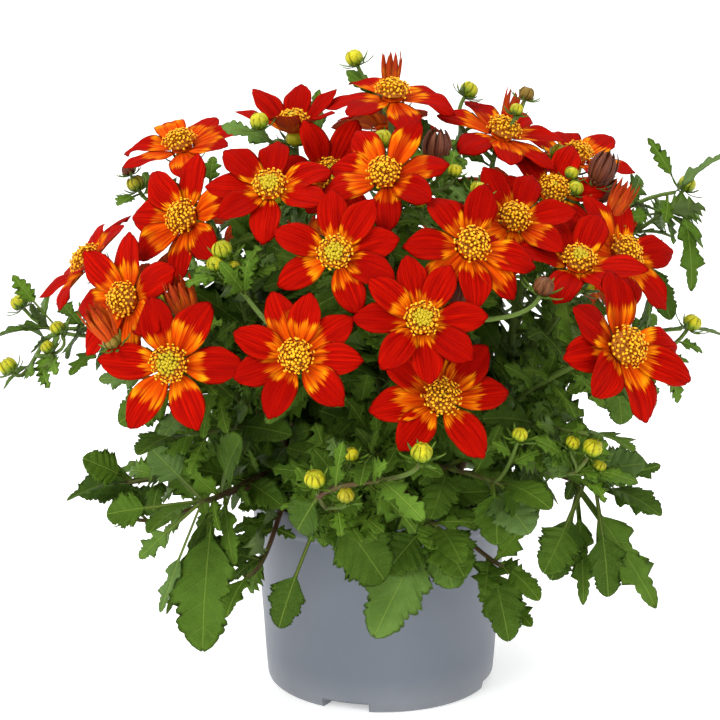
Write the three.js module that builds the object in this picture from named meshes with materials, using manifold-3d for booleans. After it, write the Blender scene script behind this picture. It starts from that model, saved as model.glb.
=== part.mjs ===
// A bidens in full bloom in a 13 cm nursery pot.
// Millimetres, +Z up. The origin is the centre of the pot's base, on the surface that it stands on.
// The viewer's side is -Y. A yaw turns from -Y towards +X, and a tilt lifts from level, both in degrees.
import * as THREE from 'three';
import { mergeVertices } from 'three/addons/utils/BufferGeometryUtils.js';
import Module from 'manifold-3d';

const wasm = await Module();
wasm.setup();

// Driving dimensions of the pot and its soil
const POT_HEIGHT = 95;
const LIP_RADIUS = 65;
const COLLAR_HEIGHT = 12;
const FOOT_RADIUS = 54.6;
const FOOT_RISE = 4.5;
const WALL = 1.9;
const NOTCH_YAW = -18;
const NOTCH_WIDTH = 20;
const NOTCHES = 4;
const POT_SIDES = 24;
const SOIL_SIDES = 12;
const SOIL_TOP = 86;
const SOIL_RISE = 1.6;
const GAP = 0.3;
// Corners nearer than this are one after a join
const JOIN_TOLERANCE = 0.01;

// Driving dimensions of the stems
const SECTORS = 6;
const TRUNK_SIDES = 5;
const STALK_SIDES = 5;
const SHOOT_SIDES = 4;
const TRUNK = { foot: 20, depth: 58, knee: 26, spread: 70, crown: 74, top: 205, thick: 3.1, thin: 1.9 };
const STALK_RADIUS = 1.25;
const THIN_STALK_RADIUS = 0.95;

// Driving dimensions of the blooms, heads and leaves
const PETAL = { reach: 25, width: 7.4, thick: 1.3, bend: 20, root: 1.45 };
const HUB = { low: -1.6, edge: 5, top: 0.8, tip: 2 };
const DISC = { neck: 4, radius: 8, height: 6.6, points: 8 };
const CALYX = { length: 6.5, radius: 4.3, rim: 3.2 };
const BRACT = { reach: 5.2, rise: 1.2 };
const HEAD = { neck: 2.3, radius: 4.3, height: 7.5, bracts: 6.6 };
const TALL = { radius: 5.0, height: 17 };
const LEAF_THICK = 1.4;
const LEAF_FOOT = 1;

// Outlines as [place along the rib, half width], and the places where the rib is bent
const PETAL_CUT = { edge: [[0, 0.2], [0.4, 0.97], [0.8, 0.76], [1, 0]], rib: [0, 0.4] };
const BROAD_CUT = {
  edge: [[0, 0.08], [0.2, 0.14], [0.33, 0.94], [0.56, 1], [0.64, 0.74], [0.82, 0.6], [1, 0]],
  rib: [0, 0.33, 0.64],
};
const LOBED_CUT = {
  edge: [[0, 0.1], [0.16, 0.16], [0.36, 0.98], [0.45, 0.36], [0.68, 0.96], [0.74, 0.4], [1, 0]],
  rib: [0, 0.45],
};
const SMALL_CUT = { edge: [[0, 0.14], [0.4, 1], [0.52, 0.4], [0.78, 0.66], [1, 0]], rib: [0, 0.52] };

// Ways that a blade, or a stalk, may be swung to pass clear of its neighbours
const SWINGS = [
  [0, 0], [8, 0], [-8, 0], [0, 9], [0, -9], [16, 0], [-16, 0], [12, 12], [12, -12], [-12, 12], [-12, -12],
  [24, 0], [-24, 0], [0, 20], [0, -20], [24, 20], [24, -20], [-24, 20], [-24, -20], [34, 0], [-34, 0],
];
const PUSHES = [
  [0, 0], [1, 0], [-1, 0], [0, 1], [0, -1], [1, 1], [-1, 1], [1, -1], [-1, -1],
  [2, 0], [-2, 0], [0, 2], [0, -2], [2, 2], [-2, 2], [2, -2], [-2, -2],
];
const PUSH_SHARE = 0.16;
const STEM_PULL = 0.34;
// How strongly a stem turns to its end where it leaves its parent
const LEAVE = 1.6;
const FORKS = [0.3, 0.45, 0.6, 0.75, 0.94];
const LEAF_STEP = 0.03;
// The share of a blade, and of a stem, from its foot that may touch what it grows from
const FREE_FROM = 0.14;
const STEM_FREE_FROM = 0.35;
// The step between the places where side shoots leave one trunk
const STAGGER = 0.004;

// Blooms: name, centre, yaw, tilt, lift of the petals, size as a share of the greatest, and the angle of
// each petal as the bloom is faced
const BLOOMS = [
  ['a', [-86, -129, 176], -10, 12, 8, 1, [110, 58, 0, -62, -122, 178]],
  ['b', [-35, -146, 181], -5, 15, 8, 0.87, [112, 78, 35, -3, -45, -112, -160, 160]],
  ['c', [13, -145, 195], 5, 20, 10, 0.86, [100, 60, 3, -42, -85, -130, 178, 142]],
  ['d', [21, -136, 163], 10, 24, 10, 1, [5, 45, 92, 140, 188, 228, -58]],
  ['e', [93, -134, 183], 28, 18, 13, 1.08, [92, 150, 185, 218, -82, -30, 0]],
  ['f', [-20, -134, 220], -5, 18, 8, 0.88, [95, 55, 15, -25, -68, -110, -152, 160]],
  ['g', [-47, -112, 246], -5, 34, 10, 0.87, [88, 140, 178, 222, -92, -22, 20]],
  ['h', [-84, -94, 234], -28, 15, 12, 0.95, [85, 135, 180, 225, -85, -40, 20]],
  ['i', [-107, -107, 200], -35, 12, 12, 1, [95, 140, 190, -120, -75, -25, 30]],
  ['j', [-92, -48, 266], -20, 58, 6, 1, [80, 130, 185, 235, -60, -15, 30]],
  ['k', [-132, -62, 214], -66, 40, 8, 1, [90, 140, 190, 240, -60, -10, 40]],
  ['l', [-40, -62, 274], -10, 62, 38, 0.9, [90, 150, 200, -90, -30, 35]],
  ['m', [4, -64, 287], 5, 64, -6, 1, [75, 125, 180, 225, -80, -25, 25]],
  ['n', [0, -109, 251], -15, 32, 14, 0.9, [125, 62, 10, -35, -80, 205, 165]],
  ['o', [53, -58, 271], 25, 55, 4, 1, [95, 150, 205, -110, -60, -15, 40]],
  ['p', [54, -98, 233], 5, 32, 12, 0.88, [65, 118, 165, -145, -95, -45, 8]],
  ['q', [33, -128, 223], 15, 24, 6, 0.93, [120, 70, 178, -20, -55, -95, -140]],
  ['r', [80, -106, 215], 5, 50, 14, 0.95, [112, 62, -18, -65, -120, 175]],
  ['s', [103, -82, 218], 38, 28, 8, 1.08, [70, 125, 180, -120, -60, 0]],
  ['t', [93, -22, 262], 20, 58, 6, 1, [85, 145, 205, -90, -30, 30]],
  ['u', [-24, -80, 252], 18, 22, 22, 0.9, [60, 115, 175, -125, -60, 0]],
  ['w', [74, -70, 245], 10, 34, 8, 0.9, [5, 60, 120, 180, -60]],
  ['back_a', [-70, 84, 236], 205, 40, 8, 1, [90, 140, 190, 240, -68, -15, 35]],
  ['back_b', [-44, 108, 217], 188, 22, 8, 1, [90, 140, 190, 240, -68, -15, 35]],
  ['back_c', [44, 114, 220], 165, 26, 8, 1, [100, 150, 200, 250, -60, -10, 45]],
  ['back_d', [71, 92, 241], 150, 42, 8, 1, [100, 150, 200, 250, -60, -10, 45]],
  ['back_e', [-124, 56, 190], 245, 24, 8, 1, [90, 145, 200, -105, -50, 0, 45]],
  ['back_f', [118, 60, 198], 118, 26, 8, 1, [90, 145, 200, -105, -50, 0, 45]],
  ['back_g', [2, 40, 281], 180, 74, 6, 1, [90, 140, 190, 240, -68, -15, 35]],
];
// Blooms whose petals lie on each other share one body
const FUSED = { i: 'a', f: 'b', r: 'p', s: 'p', back_b: 'back_a', back_d: 'back_c' };

// Round and tall heads on thin stalks, at their middle
const HEADS = [
  [[-12, -40, 308], 'round'], [[4, -30, 298], 'tall'], [[38, -46, 293], 'round'],
  [[-1, -90, 268], 'round'], [[102, -30, 250], 'tall'], [[80, -52, 264], 'round'],
  [[112, -40, 228], 'tall'], [[62, -134, 208], 'round'], [[-54, -80, 276], 'round'],
  [[-114, -46, 250], 'round'], [[-66, -122, 222], 'round'], [[-84, -116, 198], 'tall'],
  [[-174, -30, 194], 'round'], [[-174, -52, 166], 'round'], [[-28, -150, 134], 'round'],
  [[13, -158, 146], 'round'], [[-118, -62, 100], 'round'], [[85, -122, 141], 'round'],
  [[141, -60, 187], 'round'], [[142, -40, 250], 'round'], [[-96, 96, 216], 'tall'],
  [[96, 112, 206], 'round'],
];

// Side shoots: the trunk's place that they leave, their end, pairs of leaves, leaf length and kind
const SHOOTS = [
  [0.86, [-158, -36, 182], 2, 28, 'lobed'],
  [0.9, [136, -42, 246], 2, 30, 'lobed'],
  [0.7, [136, -60, 184], 2, 28, 'small'],
  [0.42, [-117, -66, 114], 1, 30, 'lobed'],
  [0.42, [-82, -88, 110], 1, 34, 'broad'],
  [0.4, [-60, -94, 78], 1, 26, 'lobed'],
  [0.46, [-24, -104, 122], 1, 34, 'broad'],
  [0.5, [-8, -132, 136], 1, 30, 'lobed'],
  [0.4, [22, -116, 106], 1, 32, 'broad'],
  [0.46, [48, -112, 124], 1, 34, 'broad'],
  [0.38, [52, -100, 84], 1, 24, 'broad'],
  [0.46, [96, -84, 116], 1, 34, 'broad'],
  [0.54, [84, -118, 146], 1, 32, 'lobed'],
  [0.54, [-84, -98, 142], 1, 36, 'broad'],
  [0.42, [-70, 92, 98], 1, 44, 'broad'],
  [0.42, [24, 112, 92], 1, 44, 'broad'],
  [0.42, [100, 62, 94], 1, 44, 'lobed'],
  [0.42, [-116, 22, 104], 1, 42, 'lobed'],
  [0.7, [144, 18, 176], 1, 34, 'small'],
  [0.72, [-36, 138, 168], 1, 34, 'small'],
  [0.8, [-30, -4, 262], 1, 36, 'lobed'],
  [0.8, [34, 8, 260], 1, 36, 'lobed'],
];

// Long leaves that hang over the rim: tip, where each springs from, length and half width of the blade,
// yaw and tilt that it faces, bend and kind. A leaf stalk carries it from the nearest place on a stem.
const LEAVES = [
  [[-80, -98, 45], [-82, -88, 104], 50, 14, -20, 14, 12, 'broad'],
  [[-98, -80, 56], [-82, -86, 104], 46, 7, 60, 10, -14, 'lobed'],
  [[-141, -66, 112], [-116, -66, 112], 26, 10, -30, 30, 14, 'broad'],
  [[-102, -88, 136], [-84, -96, 140], 20, 9, -25, 30, 14, 'broad'],
  [[-61, -104, 142], [-82, -88, 112], 28, 12, -20, 30, 14, 'broad'],
  [[-66, -92, 82], [-80, -86, 108], 26, 8, -30, 20, 14, 'lobed'],
  [[-46, -98, 56], [-58, -92, 78], 24, 8, -25, 15, 16, 'broad'],
  [[-35, -122, 103], [-32, -136, 130], 28, 12, -8, 24, 18, 'broad'],
  [[0, -118, 83], [-27, -134, 120], 38, 13, 10, 20, 20, 'broad'],
  [[-5, -116, 58], [22, -114, 104], 42, 12, -5, 12, 16, 'broad'],
  [[33, -122, 86], [24, -114, 106], 24, 11, 8, 24, 18, 'broad'],
  [[60, -120, 104], [48, -110, 122], 22, 11, 12, 26, 18, 'broad'],
  [[54, -104, 52], [52, -98, 84], 30, 10, 14, 15, 16, 'broad'],
  [[74, -90, 75], [94, -82, 114], 28, 9, 20, 20, 18, 'broad'],
  [[90, -82, 61], [96, -82, 114], 38, 8, 12, 10, 14, 'lobed'],
  [[121, -92, 63], [97, -84, 116], 46, 13, 25, 14, 16, 'lobed'],
  [[114, -92, 128], [96, -84, 116], 22, 9, 25, 30, 16, 'broad'],
  [[144, -46, 200], [138, -44, 240], 34, 9, 20, 20, 24, 'lobed'],
];

const radians = THREE.MathUtils.degToRad;
const vec = (list) => new THREE.Vector3(...list);
const UP = new THREE.Vector3(0, 0, 1);
// Leaves face away from here, seen from above
const LIGHT_FROM = new THREE.Vector3(0, 50, 0);
// The direction that the first corner of a stalk's rings is worked out from, which no stalk runs along
const CORNER = new THREE.Vector3(0.53, 0.47, -0.71);

// start + each scale x direction
function travel(start, ...steps) {
  const end = start.clone();
  steps.forEach(([scale, direction]) => end.addScaledVector(direction, scale));
  return end;
}

// The unit vector `from` turned by an angle towards `to`, which is square to it
function turnTo(from, to, angle) {
  return travel(new THREE.Vector3(), [Math.cos(angle), from], [Math.sin(angle), to]);
}

// Unit vector at a yaw and a tilt
function facing(yaw, tilt) {
  const level = Math.cos(radians(tilt));
  return new THREE.Vector3(
    Math.sin(radians(yaw)) * level, -Math.cos(radians(yaw)) * level, Math.sin(radians(tilt)));
}

// A repeatable draw from 0 to 1 for the whole number n
function chance(n) {
  const value = Math.sin(n * 12.9898 + 4.1) * 43758.5453;
  return value - Math.floor(value);
}

// The sector that a point belongs to, counted round from the viewer's side
function sectorOf(point) {
  const turn = Math.atan2(point.x, -point.y) / (2 * Math.PI / SECTORS);
  return (Math.round(turn) + SECTORS) % SECTORS;
}

// A closed body from its corners and its triangles
function solid(points, triangles) {
  return new wasm.Manifold(new wasm.Mesh({
    numProp: 3,
    vertProperties: new Float32Array(points.flatMap((p) => [p.x, p.y, p.z])),
    triVerts: new Uint32Array(triangles.flat()),
  }));
}

// A closed body from a closed geometry, without the flat triangles at its poles
function solidFrom(geometry) {
  geometry.deleteAttribute('normal');
  geometry.deleteAttribute('uv');
  const merged = mergeVertices(geometry, 1e-4);
  const { array } = merged.index;
  const kept = [];
  for (let i = 0; i < array.length; i += 3) {
    const [a, b, c] = [array[i], array[i + 1], array[i + 2]];
    if (a !== b && b !== c && c !== a) kept.push(a, b, c);
  }
  return new wasm.Manifold(new wasm.Mesh({
    numProp: 3,
    vertProperties: new Float32Array(merged.attributes.position.array),
    triVerts: new Uint32Array(kept),
  }));
}

// A lathe turned about Z from [radius, height] pairs that run up the outside and back on the axis
function lathe(profile, sides) {
  const geometry = new THREE.LatheGeometry(profile.map(([r, z]) => new THREE.Vector2(r, z)), sides);
  return solidFrom(geometry.rotateX(Math.PI / 2));
}

// Triangles between two rows of corners that run the same way, each with its place and its number
function strip(left, right) {
  const triangles = [];
  let [i, j] = [0, 0];
  while (i < left.length - 1 || j < right.length - 1) {
    const nextLeft = i < left.length - 1 ? left[i + 1].place : Infinity;
    const nextRight = j < right.length - 1 ? right[j + 1].place : Infinity;
    const stepLeft = nextLeft < nextRight;
    const next = stepLeft ? left[i + 1].corner : right[j + 1].corner;
    if (left[i].corner !== next && right[j].corner !== next) {
      triangles.push([left[i].corner, right[j].corner, next]);
    }
    if (stepLeft) i += 1;
    else j += 1;
  }
  return triangles;
}

// A blade from foot to tip on an arc that turns by `bend`. Its rib is thick and its cut edge is sharp,
// and its halves are raised by `fold` times their width. `grow` widens and thickens it.
function bladeMesh({ foot, tip, face, width, thick, bend, fold, cut }, grow = 0) {
  const chord = tip.clone().sub(foot);
  const length = chord.length();
  const along = chord.normalize();
  const up = travel(face, [-face.dot(along), along]).normalize();
  const side = along.clone().cross(up);
  const half = radians(bend) / 2;
  const radius = length / (2 * Math.sin(half));
  const spine = (t) => {
    const angle = half * (1 - 2 * t);
    const ahead = radius * (Math.sin(half) - Math.sin(angle));
    const above = radius * (Math.cos(angle) - Math.cos(half));
    return travel(foot, [ahead, along], [above, up]);
  };
  const lift = (t) => {
    const angle = half * (1 - 2 * t);
    return travel(up.clone().multiplyScalar(Math.cos(angle)), [-Math.sin(angle), along]);
  };
  const points = [];
  const corner = (place, point) => ({ place, corner: points.push(point) - 1 });
  const end = corner(1, travel(spine(1), [grow, along]));
  const edge = (sign) => [
    ...cut.edge.slice(0, -1).map(([t, share]) => {
      const reach = share * width;
      return corner(t, travel(spine(t), [sign * (reach + grow), side], [fold * reach, lift(t)]));
    }), end];
  const rib = (sign) => [
    ...cut.rib.map((t) => corner(t, travel(spine(t), [sign * (thick / 2 + grow), lift(t)]))), end];
  const [left, right, top, bottom] = [edge(-1), edge(1), rib(1), rib(-1)];
  const upper = [...strip(left, top), ...strip(top, right)];
  const lower = [...strip(left, bottom), ...strip(bottom, right)].map(([a, b, c]) => [a, c, b]);
  const root = [left, top, right, bottom].map(([first]) => first.corner);
  return { points, triangles: [...upper, ...lower], root };
}

function blade(shape, grow = 0) {
  const { points, triangles, root: [left, top, right, bottom] } = bladeMesh(shape, grow);
  return solid(points, [...triangles, [top, left, bottom], [top, bottom, right]]);
}

// The blade without the first part of it, which may touch what it grows from
function outerBlade(shape, grow) {
  const edge = [[FREE_FROM, 0.2], ...shape.cut.edge.filter(([t]) => t > FREE_FROM)];
  const rib = [FREE_FROM, ...shape.cut.rib.filter((t) => t > FREE_FROM)];
  return blade({ ...shape, cut: { edge, rib } }, grow);
}

// The blade raised and turned about its foot
function swung(shape, [raise, turn]) {
  const chord = shape.tip.clone().sub(shape.foot);
  const length = chord.length();
  const along = chord.normalize();
  const up = travel(shape.face, [-shape.face.dot(along), along]).normalize();
  const side = along.clone().cross(up);
  const raised = turnTo(along, up, radians(raise));
  const turned = turnTo(raised, side, radians(turn));
  return { ...shape, tip: travel(shape.foot, [length, turned]) };
}

// The two directions that a ring's corners are measured along
function ringAxes(heading) {
  const x = heading.clone().cross(CORNER).normalize();
  return { x, y: heading.clone().cross(x).normalize() };
}

// The blade sewn to the four corners of a tube's side, turned so that it twists least
function sewnOn(base, points, { points: bladePoints, triangles, root }) {
  const middle = (list) => travel(new THREE.Vector3(), ...list.map((point) => [0.25, point]));
  const loop = [root[1], root[2], root[3], root[0]];
  const ends = loop.map((corner) => bladePoints[corner]);
  const sides = base.map((corner) => points[corner]);
  const [endMiddle, sideMiddle] = [middle(ends), middle(sides)];
  const fit = (turn) => ends.reduce((sum, end, i) => sum
    + end.clone().sub(endMiddle).dot(sides[(i + turn) % 4].clone().sub(sideMiddle)), 0);
  const turn = [0, 1, 2, 3].reduce((best, each) => (fit(each) > fit(best) ? each : best));
  const numbers = new Map(loop.map((corner, i) => [corner, base[(i + turn) % 4]]));
  bladePoints.forEach((point, corner) => {
    if (!numbers.has(corner)) numbers.set(corner, points.push(point) - 1);
  });
  return triangles.map((corners) => corners.map((corner) => numbers.get(corner)));
}

// A closed tube through rings, each with its centre, its direction, its radius and the rise of every
// second corner. Above a ring with bracts, each side is drawn out into a pointed bract, and a blade in
// `sprouts` grows from the side above its ring that best faces its way, or from the end of a tube of four
// sides.
function tube(rings, sides, sprouts = []) {
  const points = [];
  const triangles = [];
  const axes = rings.map(({ heading }) => ringAxes(heading));
  const sideWay = (i, k) => turnTo(axes[i].x, axes[i].y, 2 * Math.PI * (k + 0.5) / sides);
  rings.forEach(({ at, heading, radius, jag = 0 }, i) => {
    const { x, y } = axes[i];
    for (let k = 0; k < sides; k += 1) {
      const angle = 2 * Math.PI * k / sides;
      const rise = k % 2 ? jag : 0;
      points.push(travel(at, [radius, turnTo(x, y, angle)], [rise, heading]));
    }
  });
  rings.slice(0, -1).forEach(({ at, heading, bracts }, i) => {
    const free = new Set(Array.from({ length: sides }, (_, k) => k));
    const corners = (k) => [i * sides + k, i * sides + (k + 1) % sides,
      (i + 1) * sides + (k + 1) % sides, (i + 1) * sides + k];
    sprouts.filter(({ ring }) => ring === i).forEach(({ shape }) => {
      const way = shape.tip.clone().sub(shape.foot);
      const side = [...free].reduce((best, k) => (
        way.dot(sideWay(i, k)) > way.dot(sideWay(i, best)) ? k : best));
      free.delete(side);
      triangles.push(...sewnOn(corners(side), points, bladeMesh(shape)));
    });
    free.forEach((k) => {
      const [a, b, c, d] = corners(k);
      if (bracts) {
        const point = points.push(travel(at, [bracts.reach, sideWay(i, k)], [bracts.rise, heading])) - 1;
        triangles.push([a, b, point], [b, c, point], [c, d, point], [d, a, point]);
      } else triangles.push([a, b, c], [a, c, d]);
    });
  });
  const last = (rings.length - 1) * sides;
  const crown = sprouts.find(({ ring }) => ring === rings.length - 1);
  for (let k = 1; k < sides - 1; k += 1) {
    triangles.push([0, k + 1, k]);
    if (!crown) triangles.push([last, last + k, last + k + 1]);
  }
  if (crown) triangles.push(...sewnOn([0, 1, 2, 3].map((k) => last + k), points, bladeMesh(crown.shape)));
  return solid(points, triangles);
}

// A stem that leaves `from` along `out` and arrives at `to` along `into`, with its middle pushed aside by
// two shares of its length. Its rings stand at `places` along it, and grow thinner from `thick` to `thin`.
function stem({ from, out, to, into, places, thick, thin }, [across, over]) {
  const chord = to.clone().sub(from);
  const length = chord.length();
  const start = travel(out, [LEAVE, chord.clone().normalize()]).normalize();
  const side = chord.clone().cross(UP).normalize();
  const above = side.clone().cross(chord).normalize();
  const aside = [[across * PUSH_SHARE * length, side], [over * PUSH_SHARE * length, above]];
  const first = travel(from, [STEM_PULL * length, start], ...aside);
  const second = travel(to, [-STEM_PULL * length, into], ...aside);
  return stemOn(new THREE.CubicBezierCurve3(from, first, second, to), places, thick, thin);
}

function stemOn(curve, places, thick, thin) {
  return places.map((place) => ({
    place, at: curve.getPoint(place), heading: curve.getTangent(place),
    radius: THREE.MathUtils.lerp(thick, thin, place),
  }));
}

// The point on a stem's centre line at a place between its rings, and the way that the stem runs there
function spotOn(rings, place) {
  const next = Math.max(1, rings.findIndex((ring) => ring.place >= place));
  const [low, high] = [rings[next - 1], rings[next]];
  const heading = high.at.clone().sub(low.at);
  const share = (place - low.place) / (high.place - low.place);
  return {
    at: travel(low.at, [share, heading]), heading: heading.normalize(), place,
    radius: THREE.MathUtils.lerp(low.radius, high.radius, share),
  };
}

// The rings with a short section let in round the foot of each blade that grows there, and the blades
// with the number of the ring that they grow above
function sprouting(rings, leaves) {
  const length = rings[0].at.distanceTo(rings.at(-1).at);
  const step = LEAF_FOOT / length;
  const places = [...new Set(leaves.map(({ place }) => place))].filter((place) => place < 1);
  const added = places.flatMap((place) => [spotOn(rings, place - step), spotOn(rings, place + step)]);
  const all = [...rings, ...added].sort((one, other) => one.place - other.place);
  const sprouts = leaves.map(({ place, shape }) => ({
    shape, ring: place < 1 ? all.findIndex((ring) => ring.place > place) - 1 : all.length - 1,
  }));
  return { rings: all, sprouts };
}

// A ring at a height along a heading
function ringOn(start, heading, height, radius, jag = 0) {
  return { at: travel(start, [height, heading]), heading, radius, jag };
}

function grown(rings, grow) {
  return rings.map((ring) => ({ ...ring, radius: ring.radius + grow }));
}

// Every solid so far, with its node and its box
const pieces = [];

function add(node, body, more = {}) {
  const piece = { node, body, box: body.boundingBox(), group: null, ...more };
  pieces.push(piece);
  return piece;
}

function apart(one, other) {
  return [0, 1, 2].some((k) => one.min[k] > other.max[k] || one.max[k] < other.min[k]);
}

function isClear(test, concerns) {
  const box = test.boundingBox();
  return pieces.every((piece) =>
    !concerns(piece) || apart(box, piece.box) || test.intersect(piece.body).isEmpty());
}

// Adds the first way of turning a blade that keeps the gap to every other node and, past its foot, is
// clear of its own group. The blade is joined later to what it grows from.
function settleBlade(node, group, shape) {
  const way = SWINGS.find((each) => {
    const tried = swung(shape, each);
    return isClear(blade(tried, GAP), (piece) => piece.node !== node)
      && isClear(outerBlade(tried, 0.05), (piece) => piece.node === node && piece.group === group);
  });
  if (!way) return null;
  const settled = swung(shape, way);
  add(node, blade(settled), { group, part: false });
  return settled;
}

// Adds the first way of a stem that keeps the gap to every other node, ready to carry leaves. A way whose
// outer part also keeps clear of its own node comes before the others.
function settleStem(node, shape, build) {
  const body = (push, grow, from = 0) => build(
    grown(stem(shape, push).filter(({ place }) => place >= from), grow), [], grow);
  const clear = PUSHES.filter((each) => isClear(body(each, GAP), (piece) => piece.node !== node));
  const push = clear.find((each) => isClear(body(each, 0, STEM_FREE_FROM), (piece) => piece.node === node))
    ?? clear[0];
  if (!push) return null;
  const rings = stem(shape, push);
  return add(node, build(rings, []), { rings, build, leaves: [] });
}

// The pot: a thin wall that flares to a collar and a rounded lip, on a floor and a notched foot
function potBody() {
  const ridge = POT_HEIGHT - COLLAR_HEIGHT;
  const profile = [
    [0, 0], [34, 0], [36, FOOT_RISE], [FOOT_RADIUS - 6, FOOT_RISE], [FOOT_RADIUS - 6, 0], [FOOT_RADIUS, 0],
    [58.8, 12], [LIP_RADIUS - 1.3, ridge - 0.6],
    [LIP_RADIUS, ridge + 1.2], [LIP_RADIUS, POT_HEIGHT - 1.2],
    [LIP_RADIUS - 1, POT_HEIGHT], [LIP_RADIUS - WALL, POT_HEIGHT - 0.6],
    [58.8 - WALL, 14], [FOOT_RADIUS, FOOT_RISE + WALL], [35, FOOT_RISE + WALL], [32, WALL], [0, WALL],
  ];
  let body = lathe(profile, POT_SIDES);
  for (let k = 0; k < NOTCHES; k += 1) {
    const notch = new THREE.BoxGeometry(NOTCH_WIDTH, 14, FOOT_RISE * 2);
    notch.translate(0, -FOOT_RADIUS, 0);
    notch.rotateZ(radians(NOTCH_YAW + k * 360 / NOTCHES));
    body = body.subtract(solidFrom(notch));
  }
  return body;
}

// The soil: it fills the pot up to a rough top, and has a hole for each trunk
function soilBody(trunks) {
  const floor = FOOT_RISE + WALL + GAP;
  const inner = (radius) => (radius - WALL) * Math.cos(Math.PI / POT_SIDES) - GAP;
  const top = inner(LIP_RADIUS - 1.3);
  const profile = [
    [0, floor], [inner(FOOT_RADIUS), floor], [inner(58.8), 14.2], [top, SOIL_TOP - 4],
    [top - 1.5, SOIL_TOP], [36, SOIL_TOP], [0, SOIL_TOP],
  ];
  const geometry = new THREE.LatheGeometry(profile.map(([r, z]) => new THREE.Vector2(r, z)), SOIL_SIDES);
  geometry.rotateX(Math.PI / 2);
  const place = geometry.attributes.position;
  for (let i = 0; i < place.count; i += 1) {
    const radius = Math.hypot(place.getX(i), place.getY(i));
    const angle = Math.atan2(place.getY(i), place.getX(i));
    const rough = radius > 1 && radius < top - 1 && place.getZ(i) > SOIL_TOP - 2;
    const rise = SOIL_RISE * Math.sin(3 * angle + radius) * Math.cos(2 * angle);
    if (rough) place.setZ(i, place.getZ(i) + rise);
  }
  return trunks.reduce((body, trunk) => body.subtract(trunk), solidFrom(geometry));
}

// A trunk: up out of the soil, over the rim and up again
function trunkStem(sector) {
  const out = facing(sector * 360 / SECTORS, 0);
  const at = (radius, height) => travel(new THREE.Vector3(0, 0, height), [radius, out]);
  const curve = new THREE.CubicBezierCurve3(
    at(TRUNK.foot, TRUNK.depth), at(TRUNK.knee, 108), at(TRUNK.spread, 116), at(TRUNK.crown, TRUNK.top));
  return stemOn(curve, [0, 0.2, 0.4, 0.6, 0.8, 1], TRUNK.thick, TRUNK.thin);
}

// The hole that a trunk stands in
function trunkHole(rings) {
  const [foot, ...above] = rings;
  const lower = { ...foot, at: travel(foot.at, [-GAP, foot.heading]) };
  return tube(grown([lower, ...above.slice(0, 2)], GAP), TRUNK_SIDES);
}

// A bloom's centre, the way it faces, and its right and upward directions as it is faced
function bloomFrame([, centre, yaw, tilt, , size]) {
  const face = facing(yaw, tilt);
  const upward = facing(yaw + 180, 90 - tilt);
  return { centre: vec(centre), face, upward, right: upward.clone().cross(face), size };
}

// The hub that the petals grow from
function hubBody({ centre, face }, grow = 0) {
  const ring = (height, radius) => ringOn(centre, face, height, radius + grow);
  return tube([ring(HUB.low - grow, HUB.tip), ring(-0.2, HUB.edge), ring(HUB.top + grow, HUB.tip)], 6);
}

// A bloom's petals and the low double cone that they spring from, as one skin
function petalsBody({ centre, face, upward, right }, petals) {
  const points = [travel(centre, [HUB.top, face]), travel(centre, [HUB.low, face])];
  const around = (angle, radius, height) => travel(
    centre, [radius * Math.cos(angle), right], [radius * Math.sin(angle), upward], [height, face]);
  const triangles = [];
  const roots = [...petals].sort((one, other) => one.angle - other.angle).map(({ shape, angle }) => {
    const mesh = bladeMesh(shape);
    const spread = Math.asin(PETAL.root / HUB.edge);
    const turn = radians(angle);
    mesh.points[mesh.root[0]] = around(turn + spread, HUB.edge, 0);
    mesh.points[mesh.root[1]] = around(turn, HUB.edge, PETAL.thick / 2);
    mesh.points[mesh.root[2]] = around(turn - spread, HUB.edge, 0);
    mesh.points[mesh.root[3]] = around(turn, HUB.edge, -PETAL.thick / 2);
    const first = points.length;
    points.push(...mesh.points);
    triangles.push(...mesh.triangles.map((corners) => corners.map((corner) => corner + first)));
    return mesh.root.map((corner) => corner + first);
  });
  roots.forEach(([left, top, right_, bottom], k) => {
    const [, , after] = roots[(k + 1) % roots.length];
    triangles.push([0, right_, top], [0, top, left], [0, left, after]);
    triangles.push([1, bottom, right_], [1, left, bottom], [1, after, left]);
  });
  return solid(points, triangles);
}

// The disc of florets: rings of points that stand in and out by turns, over a narrow neck
function discBody({ centre, face, size }, bulge, grow = 0) {
  const ring = (height, radius, jag = 0) => ringOn(centre, face, height, radius + grow, jag);
  const { neck, height, points } = DISC;
  const radius = DISC.radius * size;
  const start = HUB.top + GAP;
  return tube([
    ring(start - grow, neck), ring(start + height * 0.36, radius, 1),
    ring(start + height * bulge, radius * 0.5, 0.6),
  ], points);
}

function petalShape({ centre, face, upward, right, size }, lift, angle, number) {
  const out = turnTo(right, upward, radians(angle));
  const stagger = number % 2 ? 5 : -4;
  const rise = radians(lift + stagger + 5 * (chance(centre.x + 7 * number) - 0.5));
  const foot = travel(centre, [HUB.edge, out]);
  const reach = PETAL.reach * size * (0.95 + 0.1 * chance(centre.y + 3 * number));
  return {
    foot, tip: travel(foot, [reach, turnTo(out, face, rise)]), face,
    width: PETAL.width * size, thick: PETAL.thick, bend: PETAL.bend, fold: 0.12, cut: PETAL_CUT,
  };
}

// The stalk under a bloom, from its trunk to a calyx with bracts that flares under the hub
function bloomStem(trunk, { centre, face }) {
  const start = spotOn(trunk, THREE.MathUtils.clamp(0.45 + (centre.z - 150) * 0.0042, 0.43, 0.97));
  const to = travel(centre, [HUB.low - GAP - CALYX.length, face]);
  return {
    from: start.at, out: start.heading, to, into: face,
    places: placesFor(start.at.distanceTo(to)), thick: STALK_RADIUS * 1.3, thin: STALK_RADIUS,
  };
}

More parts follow.
